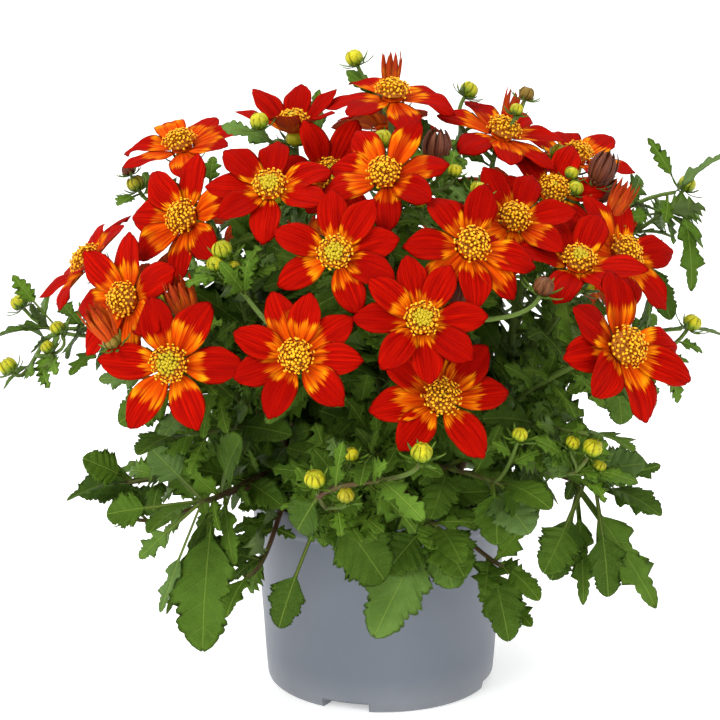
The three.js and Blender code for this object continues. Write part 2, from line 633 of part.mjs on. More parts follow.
function bloomStemBody(rings, sprouts, grow = 0) {
  const last = rings.at(-1);
  const ring = (height, radius) => ringOn(last.at, last.heading, height, radius + grow);
  const bracts = { reach: CALYX.radius + BRACT.reach + grow, rise: CALYX.length * 0.8 };
  const calyx = [
    { ...last, bracts }, ring(CALYX.length * 0.45, CALYX.radius), ring(CALYX.length, CALYX.rim),
  ];
  return tube([...rings.slice(0, -1), ...calyx], STALK_SIDES, sprouts);
}

// Ring places for a stem of a length
const placesFor = (length) => (length > 75 ? [0, 0.35, 0.7, 1] : [0, 0.5, 1]);

// The spot on a sector's stems that a twig to `target` leaves: the nearest, and as far `below` it as given
function forkFor(stems, target, below = -Infinity) {
  const spots = stems.flatMap((host) => FORKS.map((place) => ({ host, ...spotOn(host.rings, place) })));
  const cost = ({ at }) => at.distanceTo(target) + 2 * Math.max(0, at.z - target.z + below);
  return spots.reduce((best, spot) => (cost(spot) < cost(best) ? spot : best));
}

// A head that isn't open, over a star of bracts: a round bud, or a tall one whose petals are about to part
function headBody(kind, rings, sprouts, grow = 0) {
  const last = rings.at(-1);
  const ring = (height, radius, jag = 0) => ringOn(last.at, last.heading, height, radius + grow, jag);
  const bracts = { reach: HEAD.bracts + grow, rise: BRACT.rise };
  const { radius, height } = kind === 'tall' ? TALL : HEAD;
  const bud = kind === 'tall'
    ? [ring(3.5, radius * 0.86), ring(height * 0.62, radius), ring(height, radius * 0.66, 3.2)]
    : [ring(height * 0.46, radius), ring(height, radius * 0.45)];
  const sides = kind === 'tall' ? 6 : STALK_SIDES;
  return tube([...rings.slice(0, -1), { ...last, bracts }, ring(1.3, HEAD.neck), ...bud], sides, sprouts);
}

// A leaf of a kind from its foot towards a direction
function leafShape(foot, direction, face, length, kind, width = null) {
  const cut = { broad: BROAD_CUT, lobed: LOBED_CUT, small: SMALL_CUT }[kind];
  const share = { broad: 0.27, lobed: 0.3, small: 0.26 }[kind];
  return {
    foot, tip: travel(foot, [length, direction.clone().normalize()]), face,
    width: width ?? length * share, thick: LEAF_THICK, bend: 28, fold: 0.18, cut,
  };
}

// A leaf's cut with its blade drawn together to a share of its length, on a longer leaf stalk
function stalked({ edge, rib }, share) {
  const start = edge[1][0];
  const squeeze = (t) => (t < start ? t : 1 - (1 - t) * Math.min(1, share / (1 - start)));
  return { edge: edge.map(([t, width]) => [squeeze(t), width]), rib: rib.map(squeeze) };
}

// Outwards at a point, and up by `raise`
function outwards(point, raise) {
  return travel(point.clone().sub(LIGHT_FROM).setZ(0).normalize(), [raise, UP]).normalize();
}

// Pairs of leaves along the outer half of a shoot, and one at its tip
function pairedLeaves(rings, pairs, length, kind, seed) {
  const leafAt = (place, turn, lift, size) => {
    const { at, heading } = spotOn(rings, place);
    const face = outwards(at, 0.8);
    const side = heading.clone().cross(face).normalize();
    const direction = travel(heading.clone().multiplyScalar(turn ? 0.5 : 1), [turn, side], [lift, face]);
    return { place, shape: leafShape(at, direction, face, size, kind) };
  };
  const sides = Array.from({ length: pairs }, (_, i) => [-1, 1].map((turn) => leafAt(
    0.55 + 0.35 * i / pairs, turn, -0.25 + 0.4 * chance(seed + i * 5 + turn),
    length * (0.8 + 0.4 * chance(seed + i * 3 + 2 * turn)))));
  return [...sides.flat(), leafAt(1, 0, -0.2, length)];
}

// Everything that grows
const sectors = Array.from({ length: SECTORS }, (_, k) => ({
  node: `leafy_stem_${k + 1}`, yaw: k * 360 / SECTORS, rings: trunkStem(k), stems: [],
}));
const frames = BLOOMS.map(bloomFrame);
const petalNode = ([name]) => `petals_${FUSED[name] ?? name}`;
const sectorAt = (point) => sectors[sectorOf(point)];

add('pot', potBody());
add('soil', soilBody(sectors.map(({ rings }) => trunkHole(rings))));
sectors.forEach(({ node, rings, stems }) => {
  const build = (each, sprouts) => tube(each, TRUNK_SIDES, sprouts);
  stems.push(add(node, build(rings, []), { rings, build, leaves: [] }));
});

BLOOMS.forEach((row, i) => {
  add(petalNode(row), hubBody(frames[i]), { part: false });
  add(`disc_${row[0]}`, discBody(frames[i], row[0] === 'e' ? 1.25 : 1));
});

BLOOMS.forEach((row, i) => {
  const { node, stems } = sectorAt(frames[i].centre);
  const host = settleStem(node, bloomStem(stems[0].rings, frames[i]), bloomStemBody);
  if (host) stems.push(host);
});

const opened = BLOOMS.map(([, , , , lift, , angles], i) => angles.flatMap((angle, number) => {
  const shape = settleBlade(petalNode(BLOOMS[i]), BLOOMS[i][0], petalShape(frames[i], lift, angle, number));
  return shape ? [{ shape, angle: (angle + 360) % 360 }] : [];
}));

HEADS.forEach(([place, kind]) => {
  const middle = vec(place);
  const { node, stems } = sectorAt(middle);
  const into = travel(UP, [0.004, middle.clone().setZ(0)]).normalize();
  const to = travel(middle, [-(kind === 'tall' ? TALL : HEAD).height / 2, into]);
  const fork = forkFor(stems, to, 14);
  const host = settleStem(node, {
    from: fork.at, out: fork.heading, to, into, places: placesFor(fork.at.distanceTo(to)),
    thick: THIN_STALK_RADIUS * 1.2, thin: THIN_STALK_RADIUS,
  }, (...each) => headBody(kind, ...each));
  if (host) stems.push(host);
});

// The leaves wait until every stem stands
const leaves = [];
SHOOTS.forEach(([place, end, pairs, length, kind], i) => {
  const to = vec(end);
  const { node, stems } = sectorAt(to);
  const start = spotOn(stems[0].rings, place + STAGGER * i);
  const host = settleStem(node, {
    from: start.at, out: start.heading, to, into: outwards(to, 0.1),
    places: [0, 0.35, 0.7, 1], thick: STALK_RADIUS * 1.2, thin: THIN_STALK_RADIUS,
  }, (rings, sprouts) => tube(rings, SHOOT_SIDES, sprouts));
  if (!host) return;
  stems.push(host);
  const sprigs = pairs ? pairedLeaves(host.rings, pairs, length, kind, i * 11) : [];
  leaves.push(...sprigs.map((leaf) => ({ host, ...leaf })));
});

LEAVES.forEach(([end, start, size, width, yaw, tilt, bend, kind]) => {
  const tip = vec(end);
  const fork = forkFor(sectorAt(tip).stems, vec(start));
  const { host } = fork;
  const place = fork.place - LEAF_STEP * leaves.filter((leaf) => leaf.host === host).length;
  const { at } = spotOn(host.rings, place);
  const length = tip.distanceTo(at);
  const shape = leafShape(at, tip.clone().sub(at), facing(yaw, tilt), length, kind, width);
  leaves.push({ host, place, shape: { ...shape, bend, cut: stalked(shape.cut, size / length) } });
});

sectors.forEach(({ yaw, stems }, sector) => {
  const out = facing(yaw, 0);
  stems.forEach((host, i) => {
    if (i % 5 !== 2) return;
    const place = 0.52;
    const { at, heading } = spotOn(host.rings, place);
    const turn = chance(sector * 17 + i * 3) * 2 * Math.PI;
    const side = heading.clone().cross(UP).normalize();
    const above = side.clone().cross(heading);
    const around = turnTo(side, above, turn);
    const size = 24 + 10 * chance(sector * 5 + i * 7);
    const direction = travel(around, [0.6, heading]);
    leaves.push({ host, place, shape: leafShape(at, direction, outwards(at, 0.6), size, 'small') });
  });
  [0.54, 0.69].forEach((place, i) => {
    const [host] = stems;
    const { at, heading } = spotOn(host.rings, place);
    const side = heading.clone().cross(out).normalize();
    const direction = travel(side.multiplyScalar(i % 2 ? 1 : -1), [0.9, out], [-0.2, UP]);
    const kind = i % 2 ? 'broad' : 'lobed';
    leaves.push({ host, place, shape: leafShape(at, direction, outwards(at, 1), 50, kind) });
  });
});

leaves.forEach(({ host, place, shape }) => {
  const settled = settleBlade(host.node, null, shape);
  if (settled) host.leaves.push({ place, shape: settled });
});

// The finished bodies of a node
function bodiesOf(node) {
  const blooms = BLOOMS.flatMap((row, i) => (
    petalNode(row) === node ? [petalsBody(frames[i], opened[i])] : []));
  const others = pieces.filter((piece) => piece.node === node && piece.part !== false).map((piece) => {
    if (!piece.leaves?.length) return piece.body;
    const { rings, sprouts } = sprouting(piece.rings, piece.leaves);
    return piece.build(rings, sprouts);
  });
  return [...blooms, ...others];
}

// One mesh for each node, with its solids joined in one body
const FINISH = {
  pot: ['#8e97a3', 0.42], soil: ['#2e211a', 0.95], leafy_stem: ['#4f7a34', 0.6],
  petals: ['#d4160c', 0.55], disc: ['#e89a1c', 0.8],
};

function meshFor(node) {
  const bodies = bodiesOf(node);
  const joined = bodies.length > 1 ? wasm.Manifold.union(bodies).simplify(JOIN_TOLERANCE) : bodies[0];
  const parts = joined.decompose().sort((one, other) => other.volume() - one.volume());
  const { vertProperties, triVerts } = parts[0].getMesh();
  const geometry = new THREE.BufferGeometry();
  geometry.setAttribute('position', new THREE.BufferAttribute(vertProperties, 3));
  geometry.setIndex(new THREE.BufferAttribute(triVerts, 1));
  geometry.computeVertexNormals();
  const kind = Object.keys(FINISH).find((name) => node.startsWith(name));
  const [color, roughness] = FINISH[kind];
  const mesh = new THREE.Mesh(geometry, new THREE.MeshStandardMaterial({ color, roughness, metalness: 0 }));
  mesh.name = node;
  return mesh;
}

const plant = new THREE.Group();
[...new Set(pieces.map((piece) => piece.node))].forEach((node) => plant.add(meshFor(node)));

export default plant;
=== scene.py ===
"""A bidens in full bloom in a nursery pot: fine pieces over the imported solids.

Lengths in the functions are millimetres, and a mesh gets metres. +Z is up, the viewer's side is -Y, a
yaw turns from -Y towards +X and a tilt lifts from level, both in degrees. The layout below repeats the
tables and rules of the part's source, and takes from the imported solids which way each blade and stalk
was settled.
"""
import functools
import math

import bpy
import numpy as np
from bpy.props import FloatProperty, FloatVectorProperty, IntProperty, PointerProperty
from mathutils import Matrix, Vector


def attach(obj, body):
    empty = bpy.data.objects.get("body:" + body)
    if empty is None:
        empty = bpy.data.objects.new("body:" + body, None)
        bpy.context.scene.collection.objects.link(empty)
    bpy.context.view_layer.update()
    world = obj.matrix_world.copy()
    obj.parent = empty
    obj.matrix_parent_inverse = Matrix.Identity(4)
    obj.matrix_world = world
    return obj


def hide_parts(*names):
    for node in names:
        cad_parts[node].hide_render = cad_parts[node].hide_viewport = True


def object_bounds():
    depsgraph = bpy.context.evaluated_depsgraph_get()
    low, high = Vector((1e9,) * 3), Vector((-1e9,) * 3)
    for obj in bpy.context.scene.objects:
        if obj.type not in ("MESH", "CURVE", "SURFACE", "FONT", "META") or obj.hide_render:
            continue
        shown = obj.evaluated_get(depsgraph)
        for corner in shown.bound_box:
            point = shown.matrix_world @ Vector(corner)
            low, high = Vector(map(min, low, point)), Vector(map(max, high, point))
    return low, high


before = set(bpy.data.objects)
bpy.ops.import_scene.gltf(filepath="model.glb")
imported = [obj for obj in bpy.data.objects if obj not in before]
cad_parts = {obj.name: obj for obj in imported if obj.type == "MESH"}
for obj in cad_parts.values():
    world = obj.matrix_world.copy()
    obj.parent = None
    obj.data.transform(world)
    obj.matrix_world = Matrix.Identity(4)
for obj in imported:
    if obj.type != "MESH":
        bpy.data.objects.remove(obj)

bl_info = {
    "name": "Potted Bidens",
    "version": (1, 0, 0),
    "blender": (4, 5, 0),
    "location": "View3D > Sidebar > Bidens",
    "description": "Builds the fine pieces, finishes and studio of a potted bidens over its packed solids",
    "category": "Object",
}

CAD_BOX = [[float(v) for v in corner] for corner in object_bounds()]
MM = 0.001

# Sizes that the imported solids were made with
POT_HEIGHT, LIP_RADIUS, COLLAR_HEIGHT = 95, 65, 12
FOOT_RADIUS, FOOT_RISE, WALL = 54.6, 4.5, 1.9
NOTCH_YAW, NOTCH_WIDTH, NOTCHES = -18, 20, 4
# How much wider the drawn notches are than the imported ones
NOTCH_WIDER = 1.1
POT_SIDES, SOIL_TOP, GAP = 24, 86, 0.3
SECTORS = 6
TRUNK_SIDES, STALK_SIDES, SHOOT_SIDES, TALL_SIDES = 5, 5, 4, 6
TRUNK = {"foot": 20, "depth": 58, "knee": 26, "spread": 70, "crown": 74, "top": 205,
         "thick": 3.1, "thin": 1.9}
STALK_RADIUS, THIN_STALK_RADIUS = 1.25, 0.95
PETAL = {"reach": 25, "width": 7.4, "bend": 20}
HUB = {"low": -1.6, "edge": 5, "top": 0.8, "tip": 2}
DISC = {"radius": 8, "height": 6.6}
CALYX = {"length": 6.5, "radius": 4.3, "rim": 3.2}
BRACT = {"reach": 5.2, "rise": 1.2}
HEAD = {"neck": 2.3, "radius": 4.3, "height": 7.5, "bracts": 6.6}
TALL = {"radius": 5.0, "height": 17}
PUSH_SHARE, STEM_PULL, LEAVE = 0.16, 0.34, 1.6
HANGING_WIDER = 1.16
FORKS = (0.3, 0.45, 0.6, 0.75, 0.94)
LEAF_STEP, STAGGER = 0.03, 0.004
WIDTH_SHARE = {"broad": 0.27, "lobed": 0.3, "small": 0.26, "fern": 0.3}
BLADE_START = {"broad": 0.2, "lobed": 0.16, "small": 0.12, "fern": 0.2}
CUT_START = {"broad": 0.2, "lobed": 0.16, "small": 0.4, "fern": 0.2}

# Ways that a blade or a stalk was swung to pass clear of its neighbours
SWINGS = (
    (0, 0), (8, 0), (-8, 0), (0, 9), (0, -9), (16, 0), (-16, 0), (12, 12), (12, -12), (-12, 12), (-12, -12),
    (24, 0), (-24, 0), (0, 20), (0, -20), (24, 20), (24, -20), (-24, 20), (-24, -20), (34, 0), (-34, 0),
)
PUSHES = (
    (0, 0), (1, 0), (-1, 0), (0, 1), (0, -1), (1, 1), (-1, 1), (1, -1), (-1, -1),
    (2, 0), (-2, 0), (0, 2), (0, -2), (2, 2), (-2, 2), (2, -2), (-2, -2),
)
# How near a packed corner lies to the one that it is
MATCH = 0.15

# Blooms: name, centre, yaw, tilt, lift of the petals, size, the angle of each petal as the bloom is faced,
# reach of the flame along the petals, and how far the disc's florets have opened, from 0 to 1
BLOOMS = (
    ("a", (-86, -129, 176), -10, 12, 8, 1, (110, 58, 0, -62, -122, 178), 0.42, 0.35),
    ("b", (-35, -146, 181), -5, 15, 8, 0.87, (112, 78, 35, -3, -45, -112, -160, 160), 0.5, 1),
    ("c", (13, -145, 195), 5, 20, 10, 0.86, (100, 60, 3, -42, -85, -130, 178, 142), 0.27, 0.4),
    ("d", (21, -136, 163), 10, 24, 10, 1, (5, 45, 92, 140, 188, 228, -58), 0.42, 0.9),
    ("e", (93, -134, 183), 28, 18, 13, 1.08, (92, 150, 185, 218, -82, -30, 0), 0.5, 1),
    ("f", (-20, -134, 220), -5, 18, 8, 0.88, (95, 55, 15, -25, -68, -110, -152, 160), 0.38, 0.4),
    ("g", (-47, -112, 246), -5, 34, 10, 0.87, (88, 140, 178, 222, -92, -22, 20), 0.2, 0.4),
    ("h", (-84, -94, 234), -28, 15, 12, 0.95, (85, 135, 180, 225, -85, -40, 20), 0.5, 1),
    ("i", (-107, -107, 200), -35, 12, 12, 1, (95, 140, 190, -120, -75, -25, 30), 0.52, 1),
    ("j", (-92, -48, 266), -20, 58, 6, 1, (80, 130, 185, 235, -60, -15, 30), 0.62, 1),
    ("k", (-132, -62, 214), -66, 40, 8, 1, (90, 140, 190, 240, -60, -10, 40), 0.4, 1),
    ("l", (-40, -62, 274), -10, 62, 38, 0.9, (90, 150, 200, -90, -30, 35), 0.2, 0.7),
    ("m", (4, -64, 287), 5, 64, -6, 1, (75, 125, 180, 225, -80, -25, 25), 0.46, 1),
    ("n", (0, -109, 251), -15, 32, 14, 0.9, (125, 62, 10, -35, -80, 205, 165), 0.56, 0.9),
    ("o", (53, -58, 271), 25, 55, 4, 1, (95, 150, 205, -110, -60, -15, 40), 0.46, 1),
    ("p", (54, -98, 233), 5, 32, 12, 0.88, (65, 118, 165, -145, -95, -45, 8), 0.42, 0.9),
    ("q", (33, -128, 223), 15, 24, 6, 0.93, (120, 70, 178, -20, -55, -95, -140), 0.6, 0.9),
    ("r", (80, -106, 215), 5, 50, 14, 0.95, (112, 62, -18, -65, -120, 175), 0.16, 0.5),
    ("s", (103, -82, 218), 38, 28, 8, 1.08, (70, 125, 180, -120, -60, 0), 0.5, 1),
    ("t", (93, -22, 262), 20, 58, 6, 1, (85, 145, 205, -90, -30, 30), 0.5, 1),
    ("u", (-24, -80, 252), 18, 22, 22, 0.9, (60, 115, 175, -125, -60, 0), 0.12, 0.5),
    ("w", (74, -70, 245), 10, 34, 8, 0.9, (5, 60, 120, 180, -60), 0.3, 0.8),
    ("back_a", (-70, 84, 236), 205, 40, 8, 1, (90, 140, 190, 240, -68, -15, 35), 0.42, 0.5),
    ("back_b", (-44, 108, 217), 188, 22, 8, 1, (90, 140, 190, 240, -68, -15, 35), 0.36, 1),
    ("back_c", (44, 114, 220), 165, 26, 8, 1, (100, 150, 200, 250, -60, -10, 45), 0.46, 0.9),
    ("back_d", (71, 92, 241), 150, 42, 8, 1, (100, 150, 200, 250, -60, -10, 45), 0.3, 0.4),
    ("back_e", (-124, 56, 190), 245, 24, 8, 1, (90, 145, 200, -105, -50, 0, 45), 0.5, 1),
    ("back_f", (118, 60, 198), 118, 26, 8, 1, (90, 145, 200, -105, -50, 0, 45), 0.36, 0.5),
    ("back_g", (2, 40, 281), 180, 74, 6, 1, (90, 140, 190, 240, -68, -15, 35), 0.45, 1),
)
# Blooms whose petals lie on each other share one piece
FUSED = {"i": "a", "f": "b", "r": "p", "s": "p", "back_b": "back_a", "back_d": "back_c"}
BULGED_DISC, BULGE = "e", 1.25

# Round and tall heads on thin stalks, at their middle
HEADS = (
    ((-12, -40, 308), "round"), ((4, -30, 298), "tall"), ((38, -46, 293), "round"),
    ((-1, -90, 268), "round"), ((102, -30, 250), "tall"), ((80, -52, 264), "round"),
    ((112, -40, 228), "tall"), ((62, -134, 208), "round"), ((-54, -80, 276), "round"),
    ((-114, -46, 250), "round"), ((-66, -122, 222), "round"), ((-84, -116, 198), "tall"),
    ((-174, -30, 194), "round"), ((-174, -52, 166), "round"), ((-28, -150, 134), "round"),
    ((13, -158, 146), "round"), ((-118, -62, 100), "round"), ((85, -122, 141), "round"),
    ((141, -60, 187), "round"), ((142, -40, 250), "round"), ((-96, 96, 216), "tall"),
    ((96, 112, 206), "round"),
)
# How dark some of these heads are, by their number above
DARK_HEADS = {4: 0.9, 7: 0.75, 9: 0.3}

# Side shoots: the trunk's place that they leave, their end, pairs of leaves, leaf length and kind
SHOOTS = (
    (0.86, (-158, -36, 182), 2, 28, "lobed"), (0.9, (136, -42, 246), 2, 30, "lobed"),
    (0.7, (136, -60, 184), 2, 28, "small"), (0.42, (-117, -66, 114), 1, 30, "lobed"),
    (0.42, (-82, -88, 110), 1, 34, "broad"), (0.4, (-60, -94, 78), 1, 26, "lobed"),
    (0.46, (-24, -104, 122), 1, 34, "broad"), (0.5, (-8, -132, 136), 1, 30, "lobed"),
    (0.4, (22, -116, 106), 1, 32, "broad"), (0.46, (48, -112, 124), 1, 34, "broad"),
    (0.38, (52, -100, 84), 1, 24, "broad"), (0.46, (96, -84, 116), 1, 34, "broad"),
    (0.54, (84, -118, 146), 1, 32, "lobed"), (0.54, (-84, -98, 142), 1, 36, "broad"),
    (0.42, (-70, 92, 98), 1, 44, "broad"), (0.42, (24, 112, 92), 1, 44, "broad"),
    (0.42, (100, 62, 94), 1, 44, "lobed"), (0.42, (-116, 22, 104), 1, 42, "lobed"),
    (0.7, (144, 18, 176), 1, 34, "small"), (0.72, (-36, 138, 168), 1, 34, "small"),
    (0.8, (-30, -4, 262), 1, 36, "lobed"), (0.8, (34, 8, 260), 1, 36, "lobed"),
)

# Long leaves that hang over the rim: tip, where each springs from, length and half width of the blade, yaw
# and tilt that it faces, bend and kind
LEAVES = (
    ((-80, -98, 45), (-82, -88, 104), 50, 14, -20, 14, 12, "broad"),
    ((-98, -80, 56), (-82, -86, 104), 46, 7, 60, 10, -14, "lobed"),
    ((-141, -66, 112), (-116, -66, 112), 26, 10, -30, 30, 14, "broad"),
    ((-102, -88, 136), (-84, -96, 140), 20, 9, -25, 30, 14, "broad"),
    ((-61, -104, 142), (-82, -88, 112), 28, 12, -20, 30, 14, "broad"),
    ((-66, -92, 82), (-80, -86, 108), 26, 8, -30, 20, 14, "lobed"),
    ((-46, -98, 56), (-58, -92, 78), 24, 8, -25, 15, 16, "broad"),
    ((-35, -122, 103), (-32, -136, 130), 28, 12, -8, 24, 18, "broad"),
    ((0, -118, 83), (-27, -134, 120), 38, 13, 10, 20, 20, "broad"),
    ((-5, -116, 58), (22, -114, 104), 42, 12, -5, 12, 16, "broad"),
    ((33, -122, 86), (24, -114, 106), 24, 11, 8, 24, 18, "broad"),
    ((60, -120, 104), (48, -110, 122), 22, 11, 12, 26, 18, "broad"),
    ((54, -104, 52), (52, -98, 84), 30, 10, 14, 15, 16, "broad"),
    ((74, -90, 75), (94, -82, 114), 28, 9, 20, 20, 18, "broad"),
    ((90, -82, 61), (96, -82, 114), 38, 8, 12, 10, 14, "lobed"),
    ((121, -92, 63), (97, -84, 116), 46, 13, 25, 14, 16, "lobed"),
    ((114, -92, 128), (96, -84, 116), 22, 9, 25, 30, 16, "broad"),
    ((144, -46, 200), (138, -44, 240), 34, 9, 20, 20, 24, "lobed"),
)

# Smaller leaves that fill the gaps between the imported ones, as above
FILL_LEAVES = (
    ((106, -80, 143), (96, -60, 164), 25, 11, 20, 20, 18, "broad"),
    ((120, -72, 145), (106, -56, 165), 23, 10, 28, 25, 18, "broad"),
    ((80, -84, 158), (99, -60, 166), 25, 8, 0, 20, 16, "lobed"),
    ((132, -58, 188), (124, -50, 224), 28, 9, 25, 20, 20, "broad"),
    ((99, -92, 68), (93, -84, 108), 26, 10, 15, 14, 16, "broad"),
    ((68, -106, 83), (58, -100, 114), 23, 11, 12, 14, 16, "broad"),
    ((53, -104, 83), (52, -98, 113), 18, 9, 5, 16, 16, "broad"),
    ((65, -96, 56), (61, -96, 86), 21, 8, 10, 10, 14, "lobed"),
    ((119, -92, 106), (98, -84, 119), 19, 9, 25, 30, 16, "lobed"),
    ((-113, -104, 148), (-95, -90, 168), 24, 11, -25, 22, 18, "broad"),
    ((-94, -112, 142), (-91, -96, 163), 21, 10, -15, 24, 18, "lobed"),
    ((-124, -90, 165), (-103, -80, 177), 18, 7, -30, 20, 18, "lobed"),
    ((-134, -80, 128), (-105, -76, 118), 19, 9, -30, 30, 14, "broad"),
    ((-123, -86, 104), (-100, -80, 114), 17, 9, -25, 24, 14, "broad"),
    ((-108, -90, 85), (-99, -84, 110), 16, 7, -20, 12, 14, "lobed"),
    ((-102, -92, 135), (-86, -84, 119), 18, 9, -20, 40, 14, "broad"),
    ((-100, -86, 59), (-86, -82, 100), 26, 5, -15, 8, 12, "lobed"),
    ((-14, -116, 92), (-5, -110, 116), 20, 11, -5, 22, 18, "broad"),
    ((0, -112, 85), (6, -108, 113), 20, 11, 0, 18, 16, "broad"),
    ((29, -112, 78), (24, -104, 106), 22, 11, 6, 14, 16, "broad"),
    ((43, -104, 72), (37, -100, 103), 22, 10, 8, 12, 16, "lobed"),
    ((18, -124, 99), (28, -112, 120), 20, 10, 2, 26, 18, "broad"),
    ((47, -116, 98), (39, -108, 124), 21, 11, 10, 24, 18, "broad"),
    ((-23, -124, 108), (-14, -118, 131), 19, 10, -8, 30, 18, "broad"),
    ((-36, -116, 105), (-27, -110, 129), 20, 10, -10, 26, 18, "lobed"),
    ((22, -60, 284), (28, -66, 264), 15, 6, 5, 30, 16, "lobed"),
    ((31, -80, 267), (25, -74, 253), 11, 7, 5, 40, 16, "lobed"),
    ((17, -84, 262), (24, -78, 251), 10, 7, -5, 40, 16, "small"),
    ((35, -90, 259), (29, -80, 246), 12, 6, 5, 35, 16, "fern"),
    ((-141, -70, 164), (-131, -60, 188), 19, 7, -25, 20, 16, "lobed"),
    ((-155, -64, 160), (-146, -56, 183), 18, 6, -25, 24, 16, "fern"),
    ((-171, -50, 208), (-160, -46, 188), 16, 5, -20, 20, 14, "fern"),
    ((-138, -66, 202), (-135, -60, 183), 14, 6, -20, 24, 14, "small"),
    ((-120, -60, 240), (-107, -56, 249), 11, 5, -20, 24, 14, "fern"),
    ((-115, -64, 228), (-105, -58, 242), 13, 5, -20, 20, 14, "fern"),
    ((-74, -80, 261), (-67, -74, 251), 10, 6, -10, 40, 14, "lobed"),
    ((-62, -80, 268), (-55, -76, 257), 10, 6, -8, 40, 14, "small"),
    ((122, -44, 271), (137, -42, 249), 20, 4, 15, 10, 18, "fern"),
    ((111, -60, 234), (125, -50, 242), 13, 5, 15, 20, 14, "fern"),
    ((129, -52, 232), (135, -46, 248), 13, 6, 20, 20, 14, "lobed"),
    ((137, -56, 149), (127, -50, 173), 19, 6, 25, 16, 16, "fern"),
    ((127, -66, 122), (119, -58, 151), 22, 6, 22, 14, 16, "lobed"),
    ((114, -76, 119), (108, -66, 143), 19, 6, 20, 18, 16, "lobed"),
    ((74, -108, 125), (69, -98, 144), 15, 9, 12, 34, 16, "broad"),
    ((64, -112, 108), (63, -104, 132), 18, 9, 12, 26, 16, "broad"),
)

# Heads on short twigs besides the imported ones: where each stands, its kind, and how dark it is
SPRIGS = (
    ((-117, -50, 257), "round", 0.85), ((-69, -124, 217), "round", 0.1), ((-62, -122, 216), "round", 0.2),
    ((-112, -130, 190), "tall", 0.4), ((29, -104, 255), "round", 0.1), ((38, -112, 247), "round", 0.1),
    ((97, -66, 256), "tall", 0.9), ((102, -72, 239), "tall", 0.1), ((64, -60, 290), "round", 0.6),
    ((59, -66, 283), "round", 0.15), ((-16, -150, 128), "round", 0.3), ((54, -132, 149), "round", 0),
    ((78, -118, 143), "round", 0), ((-147, -68, 186), "round", 0.1), ((-153, -64, 177), "round", 0.15),
    ((84, -66, 255), "round", 0.1), ((31, -126, 204), "tall", 0.85), ((22, -90, 264), "tall", 0.9),
    ((58, -40, 280), "tall", 0.2), ((-14, -138, 142), "round", 0.1), ((14, -112, 242), "round", 0.1),
    ((-81, -116, 200), "tall", 0.25), ((85, -70, 248), "round", 0.1), ((-57, -118, 217), "round", 0.2),
    ((90, -114, 133), "round", 0.1),
)

# Half widths along a leaf and a petal, from foot to tip, as [place, share of the greatest]
OUTLINES = {
    "petal": ((0, 0.3), (0.14, 0.64), (0.3, 0.9), (0.46, 1), (0.6, 0.98), (0.7, 0.88), (0.8, 0.68)),
    "broad": ((0, 0.08), (0.2, 0.13), (0.27, 0.46), (0.35, 0.82), (0.46, 1), (0.58, 1), (0.72, 0.86),
              (0.86, 0.6), (0.95, 0.34), (1, 0.05)),
    "lobed": ((0, 0.1), (0.16, 0.15), (0.25, 0.62), (0.36, 1), (0.45, 0.4), (0.56, 0.6), (0.68, 0.96),
              (0.74, 0.42), (0.84, 0.46), (0.93, 0.3), (1, 0.03)),
    "fern": ((0, 0.09), (0.2, 0.12), (0.34, 0.8), (0.5, 1), (0.74, 0.8), (0.9, 0.45), (1, 0.04)),
    "small": ((0, 0.12), (0.12, 0.14), (0.26, 0.6), (0.4, 1), (0.51, 0.34), (0.64, 0.52), (0.78, 0.68),
              (0.92, 0.34), (1, 0.03)),
}
TEETH = {"broad": 13, "lobed": 10, "small": 7, "fern": 5}
KINDS = ("broad", "lobed", "small", "fern")
YOUNG = {"broad": 0.0, "lobed": 0.12, "small": 0.45, "fern": 0.4}
TOOTH_DEPTH = {"broad": 0.13, "lobed": 0.22, "small": 0.34, "fern": 0.72}
# How deep the wider bays between groups of teeth go
BAY_DEPTH = {"broad": 0.17, "lobed": 0.2, "small": 0.1, "fern": 0.0}
# Packed leaves drawn shorter, by number, so that the pot's ridge stays in sight
SHORTER = {77: 0.66, 19: 0.55}
# A tooth's rows as [place in the tooth, share of its depth that is reached]
TOOTH_ROWS = ((0, 0), (0.3, 0.8), (0.7, 1))
COARSE_ROWS = ((0, 0), (0.5, 1))
VEIN_SHEAR = 0.2

# Teeth to each side vein, and rows and columns of the sheets
TEETH_A_VEIN = 2
LEAF_COLUMNS, COARSE_COLUMNS, COARSE_TEETH = 8, 4, 9
PETAL_ROWS, PETAL_COLUMNS = 16, 10

# The camera: its place in metres, the degrees that it looks down, and its lens and sensor in millimetres
CAMERA, CAMERA_PITCH, LENS, SENSOR = (-0.01052, -0.62, 0.23656), 6.81, 61.64, 36.0
# Each lamp's name, place, size in metres and watts, and the point that all of them face
LAMPS = (("key", (-1.1, -1.5, 1.5), 1.1, 38), ("fill", (1.5, -1.2, 0.8), 1.4, 4),
         ("top", (0.1, 0.3, 1.9), 1.2, 21))
LAMPS_FACE = (0.0, 0.0, 0.17)
# The floor in metres: how far it is flat, the radius of its bend and the top of its wall, and its corners
FLOOR_FLAT, FLOOR_BEND, WALL_TOP, FLOOR_SIDES = 1.7, 0.9, 1.3, 96
# Strengths of the world's light and of the floor's own glow
WORLD_STRENGTH, FLOOR_GLOW = 0.52, 0.4

UP = np.array((0.0, 0.0, 1.0))
LIGHT_FROM = np.array((0.0, 50.0, 0.0))
CORNER = np.array((0.53, 0.47, -0.71))
GOLDEN_ANGLE = math.pi * (3 - math.sqrt(5))


# Directions and draws

def unit(vector):
    """The vector divided by its length, along the last axis."""
    return vector / np.linalg.norm(vector, axis=-1, keepdims=True)


def turn_to(start, end, angle):
    """cos(angle) x start + sin(angle) x end: start turned towards end, which is square to it."""
    return math.cos(angle) * start + math.sin(angle) * end


